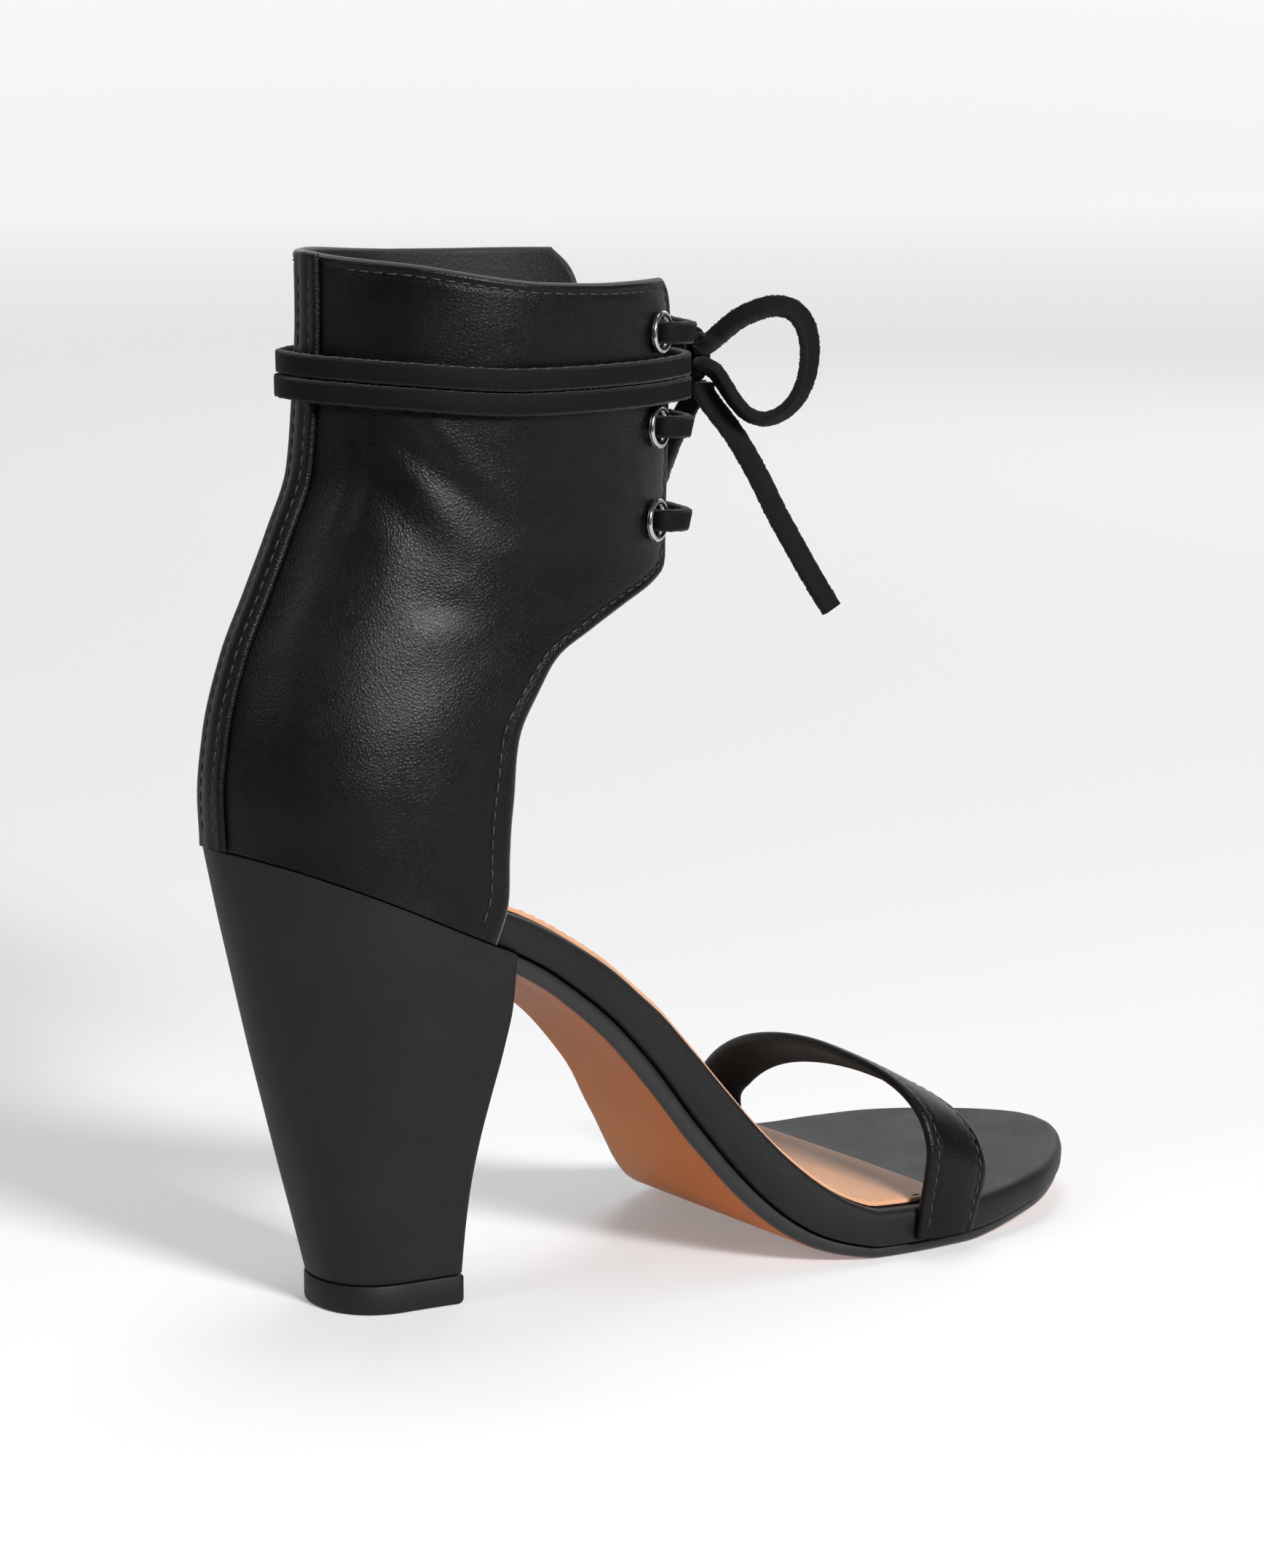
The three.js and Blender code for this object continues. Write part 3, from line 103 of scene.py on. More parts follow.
STRIP_STITCH = 1.9
ROUND_STEP = 0.004

# Share of the sole's length; rise of the feather line, thickness of footbed and outsole.
PROFILE = np.array([
    (0.000, 1.0082, 0.81, 1.45), (0.047, 0.9773, 0.82, 1.45), (0.093, 0.9361, 0.84, 1.45),
    (0.140, 0.8887, 0.86, 1.45), (0.187, 0.8382, 0.90, 1.45), (0.234, 0.7887, 0.97, 1.45),
    (0.270, 0.7527, 1.05, 1.52), (0.304, 0.7104, 1.11, 1.62), (0.341, 0.6517, 1.22, 1.75),
    (0.379, 0.5816, 1.36, 2.00), (0.411, 0.5064, 1.50, 2.20), (0.437, 0.4353, 1.70, 2.30),
    (0.459, 0.3652, 1.84, 2.25), (0.481, 0.2993, 1.91, 2.10), (0.507, 0.2240, 1.92, 1.95),
    (0.536, 0.1488, 1.85, 1.72), (0.567, 0.0849, 1.70, 1.45), (0.598, 0.0406, 1.48, 1.22),
    (0.631, 0.0138, 1.20, 1.08), (0.664, 0.0, 1.04, 1.00), (0.710, 0.0, 1.00, 1.00),
    (0.771, 0.0, 0.93, 1.00), (0.832, 0.0120, 0.84, 0.96), (0.888, 0.0260, 0.76, 0.93),
    (0.944, 0.0410, 0.69, 0.90), (1.000, 0.0570, 0.62, 0.86),
])

# Share of the sole's length; outer and inner edge of the footbed, outer and inner edge of the outsole.
PLAN = np.array([
    (0.00, 0.346, 0.346, 0.320, 0.320), (0.20, 0.346, 0.346, 0.320, 0.320),
    (0.25, 0.345, 0.334, 0.320, 0.290), (0.30, 0.338, 0.265, 0.318, 0.215),
    (0.34, 0.330, 0.190, 0.311, 0.135), (0.38, 0.327, 0.140, 0.309, 0.088),
    (0.42, 0.331, 0.137, 0.313, 0.095), (0.46, 0.344, 0.180, 0.326, 0.148),
    (0.50, 0.364, 0.248, 0.346, 0.222), (0.54, 0.390, 0.337, 0.372, 0.316),
    (0.58, 0.419, 0.422, 0.401, 0.405), (0.62, 0.446, 0.479, 0.428, 0.463),
    (0.66, 0.466, 0.514, 0.448, 0.498), (0.71, 0.475, 0.530, 0.457, 0.514),
    (0.76, 0.469, 0.531, 0.452, 0.514), (0.81, 0.444, 0.512, 0.427, 0.495),
    (0.87, 0.388, 0.463, 0.371, 0.446), (0.93, 0.325, 0.390, 0.309, 0.374),
    (1.00, 0.250, 0.290, 0.236, 0.276),
])

# Height above the seat as a share of the upper's; back, widest place, virtual front, half width.
OVALS = np.array([
    (-0.22, 0.000, 0.486, 1.56, 1.017), (0.00, 0.000, 0.486, 1.56, 1.017),
    (0.08, -0.004, 0.486, 1.55, 1.020), (0.19, 0.012, 0.520, 1.50, 1.007),
    (0.32, 0.061, 0.590, 1.36, 0.965), (0.42, 0.122, 0.645, 1.27, 0.935),
    (0.52, 0.183, 0.685, 1.25, 0.925), (0.63, 0.241, 0.710, 1.25, 0.935),
    (0.75, 0.258, 0.718, 1.25, 0.955), (0.88, 0.270, 0.720, 1.252, 0.985),
    (1.02, 0.271, 0.722, 1.254, 1.000),
])

# Reach and height of the cuff's front edge, as shares of its length and height.
FRONT_EDGE = np.array([
    (0.592, -0.165), (0.625, -0.114), (0.631, -0.030), (0.636, 0.026), (0.644, 0.078),
    (0.653, 0.147), (0.669, 0.192), (0.718, 0.250), (0.780, 0.308), (0.872, 0.344),
    (0.990, 0.381), (1.113, 0.412), (1.156, 0.430), (1.170, 0.474), (1.178, 0.621),
    (1.182, 0.750), (1.180, 0.853), (1.162, 0.905), (1.127, 0.938),
])

INNER_DROP = 0.5
TOP_DROP = np.array([(0.0, 0.0), (0.3, 0.22), (0.6, 0.75), (0.8, 0.96), (1.0, 1.0)])

# Height, back, breast and blend from the tip's section to the seat's.
HEEL_LINE = np.array([
    (0.06, 0.600, 0.910, 0.00), (0.18, 0.540, 0.912, 0.10), (0.30, 0.475, 0.918, 0.21),
    (0.44, 0.399, 0.935, 0.36), (0.58, 0.321, 0.960, 0.53), (0.72, 0.245, 0.985, 0.71),
    (0.86, 0.166, 1.000, 0.88), (1.00, 0.090, 1.000, 1.00),
])

# Toe strap's outer face: hold against the footbed, rear edge x, y, z, front edge x, y, z.
STRAP = np.array([
    (1.0, 0.6916, -0.503, 0.105, 0.7593, -0.503, 0.100), (1.0, 0.6963, -0.508, 0.270, 0.7687, -0.506, 0.240),
    (0.6, 0.7009, -0.516, 0.430, 0.7757, -0.508, 0.360), (0.0, 0.7033, -0.514, 0.610, 0.7771, -0.494, 0.490),
    (0.0, 0.7033, -0.480, 0.770, 0.7748, -0.456, 0.620), (0.0, 0.7019, -0.404, 0.890, 0.7701, -0.383, 0.715),
    (0.0, 0.7009, -0.290, 0.958, 0.7654, -0.272, 0.775), (0.0, 0.7009, -0.140, 0.990, 0.7617, -0.130, 0.808),
    (0.0, 0.7009, 0.020, 1.000, 0.7593, 0.020, 0.818), (0.0, 0.6986, 0.170, 0.972, 0.7570, 0.165, 0.795),
    (0.0, 0.6972, 0.305, 0.905, 0.7551, 0.295, 0.740), (0.0, 0.6963, 0.415, 0.800, 0.7542, 0.405, 0.650),
    (0.0, 0.6963, 0.500, 0.660, 0.7542, 0.494, 0.530), (0.5, 0.6972, 0.553, 0.490, 0.7561, 0.550, 0.400),
    (1.0, 0.6991, 0.565, 0.300, 0.7589, 0.565, 0.260), (1.0, 0.7009, 0.562, 0.105, 0.7617, 0.565, 0.105),
])

# Share of the way round the ankle; heights of the upper and lower turn of lace.
TURNS = np.array([
    (0.00, 0.782, 0.7405), (0.20, 0.788, 0.7465), (0.35, 0.804, 0.7625), (0.50, 0.812, 0.7705),
    (0.65, 0.804, 0.7625), (0.80, 0.788, 0.7465), (1.00, 0.782, 0.7405),
])

LOOP = [
    (0.65, 0.84), (1.09, 1.22), (1.70, 1.70), (2.48, 2.08), (3.35, 2.30), (4.17, 2.15),
    (4.74, 1.55), (5.00, 0.65), (5.00, -0.25), (4.83, -1.15), (4.39, -2.05), (3.70, -2.70),
    (2.91, -2.95), (2.13, -2.70), (1.48, -2.00), (1.00, -1.25), (0.61, -0.72),
]
TAIL = [
    (0.18, -2.10), (0.62, -2.70), (1.48, -3.86), (2.46, -5.55), (3.42, -7.48), (4.40, -9.27),
    (5.36, -10.95), (6.00, -12.00),
]
KNOT_HALF = (3.0, 5.0, 5.6)
KNOT_AT = np.array([
    FRONT_RUN + LACE_THICK / 2 + GAP + KNOT_HALF[0],
    KNOT_SIDE,
    SEAT_HEIGHT + UPPER_HEIGHT * 0.789,
])
NEAR_WAY = np.array([0.80, -0.60, 0.0])
FAR_WAY = np.array([0.12, 0.993, 0.0])
FAR_END_WAY = np.array([-0.10, 0.995, 0.0])

# Creases of the quarters: side and rise of both ends, depth and half width in millimetres.
CREASES = [
    (-0.24, 0.735, -0.60, 0.600, 0.42, 2.6), (-0.22, 0.670, -0.56, 0.520, 0.34, 3.0),
    (-0.18, 0.760, -0.23, 0.560, 0.28, 1.8), (-0.30, 0.780, -0.42, 0.690, 0.25, 1.6),
    (-0.44, 0.520, -0.74, 0.440, 0.26, 3.2), (-0.66, 0.770, -0.78, 0.690, 0.24, 1.5),
    (-0.80, 0.760, -0.86, 0.640, 0.20, 1.5), (0.22, 0.740, 0.55, 0.610, 0.38, 2.6),
    (0.25, 0.650, 0.60, 0.530, 0.30, 3.0), (0.19, 0.770, 0.24, 0.580, 0.26, 1.8),
    (0.48, 0.520, 0.78, 0.450, 0.24, 3.2), (0.70, 0.770, 0.80, 0.680, 0.22, 1.6),
]


class Column:
    """Smooth monotone curve through one column of a table."""

    def __init__(self, table: np.ndarray, column: int) -> None:
        """Keep the column's points and find a tangent at each.

        Args:
            table: rows of the table, the first column rising.
            column: which column the curve runs through.
        """
        self.at = table[:, 0]
        self.values = table[:, column]
        self.width = np.diff(self.at)
        slope = np.diff(self.values) / self.width
        self.tangent = np.zeros(len(self.at))
        self.tangent[0] = slope[0]
        self.tangent[-1] = slope[-1]
        for j in range(1, len(self.at) - 1):
            a, b = slope[j - 1], slope[j]
            if a * b > 0:
                wa = 2 * self.width[j] + self.width[j - 1]
                wb = self.width[j] + 2 * self.width[j - 1]
                self.tangent[j] = (wa + wb) / (wa / a + wb / b)

    def __call__(self, at: np.ndarray) -> np.ndarray:
        """Value of the column at each place."""
        at = np.clip(np.asarray(at, dtype=float), self.at[0], self.at[-1])
        i = np.clip(np.searchsorted(self.at, at, side="right") - 1, 0, len(self.width) - 1)
        h = self.width[i]
        t = (at - self.at[i]) / h
        return (
            self.values[i] * (1 + 2 * t) * (1 - t) ** 2
            + h * self.tangent[i] * t * (1 - t) ** 2
            + self.values[i + 1] * t * t * (3 - 2 * t)
            + h * self.tangent[i + 1] * t * t * (t - 1)
        )


RISE, BED, SOLE = (Column(PROFILE, k) for k in (1, 2, 3))
EDGES = {name: Column(PLAN, k + 1) for k, name in enumerate(("outer", "inner", "soleOuter", "soleInner"))}
BACK, WIDE, FRONT, HALF = (Column(OVALS, k) for k in (1, 2, 3, 4))
DROP = Column(TOP_DROP, 1)
HEEL_BACK, HEEL_BREAST, HEEL_BLEND = (Column(HEEL_LINE, k) for k in (1, 2, 3))
TURN_UPPER, TURN_LOWER = (Column(TURNS, k) for k in (1, 2))


def feather(x: np.ndarray) -> np.ndarray:
    """Height of the line where footbed and outsole meet."""
    return SOLE_THICK + (SEAT_HEIGHT - SOLE_THICK) * RISE(np.asarray(x) / SOLE_LENGTH)


def bed_top(x: np.ndarray) -> np.ndarray:
    """Height of the footbed's upper face."""
    return feather(x) + BED_THICK * BED(np.asarray(x) / SOLE_LENGTH)


def sole_under(x: np.ndarray) -> np.ndarray:
    """Height of the outsole's lower face before it is levelled by the floor."""
    return feather(x) - SOLE_THICK * SOLE(np.asarray(x) / SOLE_LENGTH)


def sole_bottom(x: np.ndarray) -> np.ndarray:
    """Height of the outsole's lower face."""
    return np.maximum(0, sole_under(x))


def steepness(x: np.ndarray) -> np.ndarray:
    """Length of the profile for each millimetre along."""
    return np.hypot(1, feather(np.asarray(x) + 0.5) - feather(np.asarray(x) - 0.5))


def raised(surface: Surface, rise: float) -> Surface:
    """Surface a fixed height above another, or below it where negative."""
    return lambda x: surface(x) + rise


def beside(surface: Surface, distance: float) -> Surface:
    """Surface at a square distance above another, or below it where negative."""
    return lambda x: surface(x) + distance * steepness(x)


def mixed(first: float, second: float, share: float) -> float:
    """Value a share of the way from one to another."""
    return first + (second - first) * share


def squared_off(v: np.ndarray, power: float = 0.6) -> np.ndarray:
    """Sine or cosine pushed outwards, so that a circle turns into a rounded square."""
    return np.sign(v) * np.abs(v) ** power


def round_end(distance: np.ndarray, length: float, power: float) -> np.ndarray:
    """How wide a rounded end still is at a distance from its tip."""
    share = np.clip(np.asarray(distance, dtype=float) / length, 0, 1)
    return (1 - (1 - share) ** power) ** (1 / power)


def toe_drift(x: np.ndarray) -> np.ndarray:
    """Sideways shift of the toe towards the inner side."""
    return TOE_DRIFT * (1 - round_end(SOLE_LENGTH - x, TOE_ROUND, 2))


def bed_edge(column: str, x: np.ndarray) -> np.ndarray:
    """Half width of the footbed on one side."""
    across = BALL_WIDTH * EDGES[column](np.asarray(x) / SOLE_LENGTH)
    heel_end = round_end(x - BED_FROM, SEAT_REACH - BED_FROM, BED_POWER)
    return across * heel_end * round_end(SOLE_LENGTH - x, TOE_ROUND, 2)


def sole_edge(column: str, x: np.ndarray) -> np.ndarray:
    """Half width of the outsole on one side."""
    across = BALL_WIDTH * EDGES[column](np.asarray(x) / SOLE_LENGTH)
    toe = round_end(SOLE_END - x, TOE_ROUND - (SOLE_LENGTH - SOLE_END), 2)
    ends = round_end(x - SOLE_FROM, SOLE_CORNER, 5) * toe
    return across * ends


def oval(z: np.ndarray, turn: np.ndarray) -> tuple[np.ndarray, np.ndarray]:
    """Plan place on the cuff's oval at a height.

    Args:
        z: height above the floor.
        turn: 0 at the back, a half at the virtual front, negative on the outer side.

    Returns:
        Arrays of x and y.
    """
    up = (np.asarray(z) - SEAT_HEIGHT) / UPPER_HEIGHT
    back, wide, front = (CUFF_LENGTH * c(up) for c in (BACK, WIDE, FRONT))
    back = back + HEEL_SETBACK
    half = CUFF_WIDTH / 2 * HALF(up)
    angle = 2 * np.pi * np.abs(turn)
    c = np.cos(angle)
    s = np.maximum(0, np.sin(angle))
    reach = np.where(c >= 0, wide - back, front - wide)
    power = np.where(c >= 0, 2 / 1.85, 2 / 2.2)
    return wide - np.sign(c) * reach * np.abs(c) ** power, np.sign(turn) * half * s ** power


def square_to_oval(z: float, turn: float) -> np.ndarray:
    """Level direction square to the cuff's oval at a turn."""
    x0, y0 = oval(z, turn - ROUND_STEP)
    x1, y1 = oval(z, turn + ROUND_STEP)
    return unit(np.array([y1 - y0, x0 - x1, 0.0]))


def turn_at(z: np.ndarray, x: np.ndarray) -> np.ndarray:
    """Turn at which the oval of a height reaches a given x."""
    z = np.asarray(z, dtype=float)
    low = np.full(z.shape, 0.02)
    high = np.full(z.shape, 0.5)
    for _ in range(40):
        middle = (low + high) / 2
        short = oval(z, middle)[0] < x
        low = np.where(short, middle, low)
        high = np.where(short, high, middle)
    return (low + high) / 2


def smooth_line(points: Sequence[Sequence[float]], count: int) -> np.ndarray:
    """Centripetal curve through points, resampled to equal steps.

    Args:
        points: the points that it passes through.
        count: number of points of the result.

    Returns:
        An array of points, count by 3.
    """
    p = np.array(points, dtype=float)
    p = np.vstack([2 * p[0] - p[1], p, 2 * p[-1] - p[-2]])
    fine = []
    for i in range(1, len(p) - 2):
        d = [max(np.linalg.norm(p[i + k] - p[i + k - 1]) ** 0.5, 1e-4) for k in (0, 1, 2)]
        m1 = (p[i] - p[i - 1]) / d[0] - (p[i + 1] - p[i - 1]) / (d[0] + d[1]) + (p[i + 1] - p[i]) / d[1]
        m2 = (p[i + 1] - p[i]) / d[1] - (p[i + 2] - p[i]) / (d[1] + d[2]) + (p[i + 2] - p[i + 1]) / d[2]
        t = np.linspace(0, 1, 16, endpoint=False)[:, None]
        a, b = p[i], p[i + 1]
        m1, m2 = m1 * d[1], m2 * d[1]
        fine.append(a + m1 * t + (3 * (b - a) - 2 * m1 - m2) * t ** 2 + (2 * (a - b) + m1 + m2) * t ** 3)
    line = np.vstack(fine + [p[-2][None]])
    run = np.concatenate([[0], np.cumsum(np.linalg.norm(np.diff(line, axis=0), axis=1))])
    wanted = np.linspace(0, run[-1], count)
    return np.stack([np.interp(wanted, run, line[:, k]) for k in range(3)], axis=1)


def length_of(line: np.ndarray) -> float:
    """Length of a line of points."""
    return float(np.linalg.norm(np.diff(line, axis=0), axis=1).sum())


class Upper:
    """Outer face of the cuff and quarters as a function of side and rise."""

    def __init__(self) -> None:
        """Lay out the front edge and the hem."""
        reach = FRONT_EDGE[:, 0] * CUFF_LENGTH
        height = SEAT_HEIGHT + FRONT_EDGE[:, 1] * UPPER_HEIGHT
        height[0] = feather(reach[0])
        self.edge = smooth_line(np.stack([reach, np.zeros_like(reach), height], axis=1), 400)
        self.foot_turn = float(turn_at(self.edge[0, 2], self.edge[0, 0]))

    def front(self, rise: np.ndarray) -> tuple[np.ndarray, np.ndarray]:
        """Reach and height of the front edge at a rise."""
        share = np.clip(rise, 0, 1)
        steps = np.linspace(0, 1, len(self.edge))
        return np.interp(share, steps, self.edge[:, 0]), np.interp(share, steps, self.edge[:, 2])

    def point(self, side: np.ndarray, rise: np.ndarray) -> np.ndarray:
        """Point of the outer face.

        Args:
            side: -1 at the outer front edge, 0 at the back, 1 at the inner front edge.
            rise: 0 at the feather line, 1 at the top edge.

        Returns:
            An array of points in millimetres.
        """
        side, rise = np.broadcast_arrays(np.asarray(side, dtype=float), np.asarray(rise, dtype=float))
        way = np.abs(side)
        front_x, front_z = self.front(rise)
        turn = way * turn_at(front_z, front_x)
        low = np.full(way.shape, float(feather(0)))
        for _ in range(6):
            low = feather(oval(low, way * self.foot_turn)[0])
        top = SEAT_HEIGHT + UPPER_HEIGHT
        high = top + (self.edge[-1, 2] - top) * DROP(way) * np.where(side > 0, INNER_DROP, 1)
        front_share = (front_z - self.edge[0, 2]) / (self.edge[-1, 2] - self.edge[0, 2])
        share = rise + (front_share - rise) * way ** 1.6
        z = low + (high - low) * share
        x, y = oval(z, turn * np.where(side < 0, -1, 1))
        return np.stack([x, np.where(way < 1e-6, 0, y), z], axis=-1)

    def normal(self, side: np.ndarray, rise: np.ndarray) -> np.ndarray:
        """Unit normal of the outer face."""
        side, rise = np.broadcast_arrays(np.asarray(side, dtype=float), np.asarray(rise, dtype=float))
        d = 0.004
        across = self.point(np.minimum(1, side + d), rise) - self.point(np.maximum(-1, side - d), rise)
        up = self.point(side, np.minimum(1, rise + d)) - self.point(side, np.maximum(0, rise - d))
        n = np.cross(up, across)
        n /= np.linalg.norm(n, axis=-1, keepdims=True)
        n[..., 1] = np.where(np.abs(side) < 1e-6, 0, n[..., 1])
        level = n.copy()
        level[..., 2] = 0
        n = np.where((rise < 0.02)[..., None], level, n)
        return n / np.linalg.norm(n, axis=-1, keepdims=True)

    def margins(self, side: np.ndarray, rise: np.ndarray) -> tuple[np.ndarray, np.ndarray]:
        """Distance to the front edge and to the top edge, in millimetres."""
        return (1 - np.abs(side)) * QUARTER_WIDE, (1 - rise) * QUARTER_HIGH


UPPER = Upper()


def relief(side: np.ndarray, rise: np.ndarray) -> np.ndarray:
    """Creases and soft unevenness of the worn leather, as a shift along the normal."""
    side, rise = np.broadcast_arrays(side, rise)
    shift = 0.10 * np.sin(side * 21 + rise * 9) * np.sin(rise * 23 - side * 6)
    for s0, r0, s1, r1, depth, width in CREASES:
        a = np.array([s0 * QUARTER_WIDE, r0 * QUARTER_HIGH])
        b = np.array([s1 * QUARTER_WIDE, r1 * QUARTER_HIGH])
        px, py = side * QUARTER_WIDE - a[0], rise * QUARTER_HIGH - a[1]
        run = b - a
        t = (px * run[0] + py * run[1]) / (run @ run)
        bend = np.sin(np.clip(t, 0, 1) * np.pi) * 1.6
        reach = np.clip(t, 0, 1)
        far = np.hypot(px - reach * run[0], py - reach * run[1] + bend)
        fade = np.clip(1.25 - np.abs(t - 0.5) * 1.5, 0, 1)
        fold = np.exp(-((far / width) ** 2))
        swell = np.exp(-(((far - 2 * width) / width) ** 2))
        shift = shift - depth * fade * (fold - 0.45 * swell)
    return shift


def hex_colour(code: str) -> tuple[float, float, float, float]:
    """Linear colour of an sRGB hex code."""
    parts = [int(code[i:i + 2], 16) / 255 for i in (1, 3, 5)]
    linear = [v / 12.92 if v <= 0.04045 else ((v + 0.055) / 1.055) ** 2.4 for v in parts]
    return (*linear, 1.0)


def add_node(
    tree: bpy.types.NodeTree, kind: str, settings: dict, links: dict | None = None,
) -> bpy.types.Node:
    """Add a node, set its properties and sockets, and link its inputs.

    Args:
        tree: the node tree.
        kind: the node's type name.
        settings: properties by name, or input sockets by name or number.
        links: output sockets by the input that they feed.

    Returns:
        The new node.
    """
    made = tree.nodes.new(kind)
    for key, value in settings.items():
        if isinstance(key, str) and hasattr(made, key):
            setattr(made, key, value)
        else:
            made.inputs[key].default_value = value
    for key, socket in (links or {}).items():
        tree.links.new(socket, made.inputs[key])
    return made


def ramp(
    tree: bpy.types.NodeTree, source: bpy.types.NodeSocket, stops: Sequence[tuple[float, str]],
) -> bpy.types.NodeSocket:
    """Colour ramp from hex stops."""
    made = add_node(tree, "ShaderNodeValToRGB", {}, {"Fac": source})
    elements = made.color_ramp.elements
    elements[0].position, elements[0].color = stops[0][0], hex_colour(stops[0][1])
    elements[1].position, elements[1].color = stops[-1][0], hex_colour(stops[-1][1])
    for place, code in stops[1:-1]:
        added = elements.new(place)
        added.color = hex_colour(code)
    return made.outputs["Color"]


def noise(
    tree: bpy.types.NodeTree, where: bpy.types.NodeSocket, grain_mm: float, detail: float, rough: float = 0.5,
) -> bpy.types.Node:
    """Noise with features of a size in millimetres."""
    settings = {"Scale": 1000 / grain_mm, "Detail": detail, "Roughness": rough}
    return add_node(tree, "ShaderNodeTexNoise", settings, {"Vector": where})


def spread_to(
    tree: bpy.types.NodeTree, source: bpy.types.NodeSocket, low: float, high: float,
) -> bpy.types.NodeSocket:
    """Map a 0.3 to 0.7 signal to a range."""
    settings = {"From Min": 0.3, "From Max": 0.7, "To Min": low, "To Max": high}
    return add_node(tree, "ShaderNodeMapRange", settings, {"Value": source}).outputs["Result"]


class Grain(Enum):
    """How a hide's surface was finished."""

    FULL = "full grain"
    MATTE = "matte covered"
    NAP = "suede nap"


@dataclass(frozen=True)
class Hide:
    """Leather: dyed through, so hollows and tips differ little; grain breaks the gloss up."""

    name: str
    deep: str
    tip: str
    rough: float
    cell_mm: float
    depth_mm: float
    grain: Grain = Grain.FULL
    sheen: float = 0.0
    coat: float = 0.0
    gloss: float = 0.5

    def build(self) -> bpy.types.Material:
        """Make the material."""
        material = bpy.data.materials.new(self.name)
        material.use_nodes = True
        tree = material.node_tree
        shader = tree.nodes["Principled BSDF"]
        where = add_node(tree, "ShaderNodeTexCoord", {}).outputs["Object"]
        mottle = noise(tree, where, 14, 4.0, 0.6)
        fine = noise(tree, where, self.cell_mm, 6.0, 0.7)
        if self.grain is Grain.NAP:
            height = fine.outputs["Fac"]
        else:
            bend = {"operation": "SCALE", "Scale": self.cell_mm / 1600}
            bent = add_node(tree, "ShaderNodeVectorMath", bend, {0: fine.outputs["Color"]})
            shifted = add_node(
                tree, "ShaderNodeVectorMath", {"operation": "ADD"}, {0: where, 1: bent.outputs[0]},
            )
            cells = add_node(
                tree, "ShaderNodeTexVoronoi",
                {"feature": "DISTANCE_TO_EDGE", "Scale": 1000 / self.cell_mm}, {"Vector": shifted.outputs[0]},
            )
            crown = {"From Min": 0.0, "From Max": 0.35}
            pebble = add_node(tree, "ShaderNodeMapRange", crown, {"Value": cells.outputs["Distance"]})
            both = add_node(
                tree, "ShaderNodeMath", {"operation": "MULTIPLY_ADD", 1: 0.5},
                {0: fine.outputs["Fac"], 2: pebble.outputs[0]},
            )
            height = both.outputs[0]
        colour = ramp(tree, mottle.outputs["Fac"], [(0.3, self.deep), (0.7, self.tip)])
        tree.links.new(colour, shader.inputs["Base Color"])
        rough = spread_to(tree, mottle.outputs["Fac"], self.rough - 0.05, self.rough + 0.05)
        tree.links.new(rough, shader.inputs["Roughness"])
        bump = add_node(
            tree, "ShaderNodeBump", {"Strength": 0.7, "Distance": self.depth_mm / 1000}, {"Height": height},
        )
        tree.links.new(bump.outputs["Normal"], shader.inputs["Normal"])
        shader.inputs["IOR"].default_value = 1.5
        shader.inputs["Specular IOR Level"].default_value = self.gloss
        shader.inputs["Sheen Weight"].default_value = self.sheen
        shader.inputs["Sheen Roughness"].default_value = 0.5
        shader.inputs["Coat Weight"].default_value = self.coat
        shader.inputs["Coat Roughness"].default_value = 0.3
        return material


@dataclass(frozen=True)
class Plain:
    """Moulded rubber, plated metal, thread or edge paint: one colour with fine unevenness."""

    name: str
    colour: str
    other: str
    rough: float
    metallic: float
    cell_mm: float
    depth_mm: float
    ior: float = 1.5

    def build(self) -> bpy.types.Material:
        """Make the material."""
        material = bpy.data.materials.new(self.name)
        material.use_nodes = True
        tree = material.node_tree
        shader = tree.nodes["Principled BSDF"]
        where = add_node(tree, "ShaderNodeTexCoord", {}).outputs["Object"]
        uneven = noise(tree, where, self.cell_mm, 4.0).outputs["Fac"]
        colour = ramp(tree, uneven, [(0.3, self.colour), (0.7, self.other)])
        tree.links.new(colour, shader.inputs["Base Color"])
        rough = spread_to(tree, uneven, self.rough - 0.04, self.rough + 0.04)
        tree.links.new(rough, shader.inputs["Roughness"])
        bump = add_node(
            tree, "ShaderNodeBump", {"Strength": 0.5, "Distance": self.depth_mm / 1000}, {"Height": uneven},
        )
        tree.links.new(bump.outputs["Normal"], shader.inputs["Normal"])
        shader.inputs["Metallic"].default_value = self.metallic
        shader.inputs["IOR"].default_value = self.ior
        return material


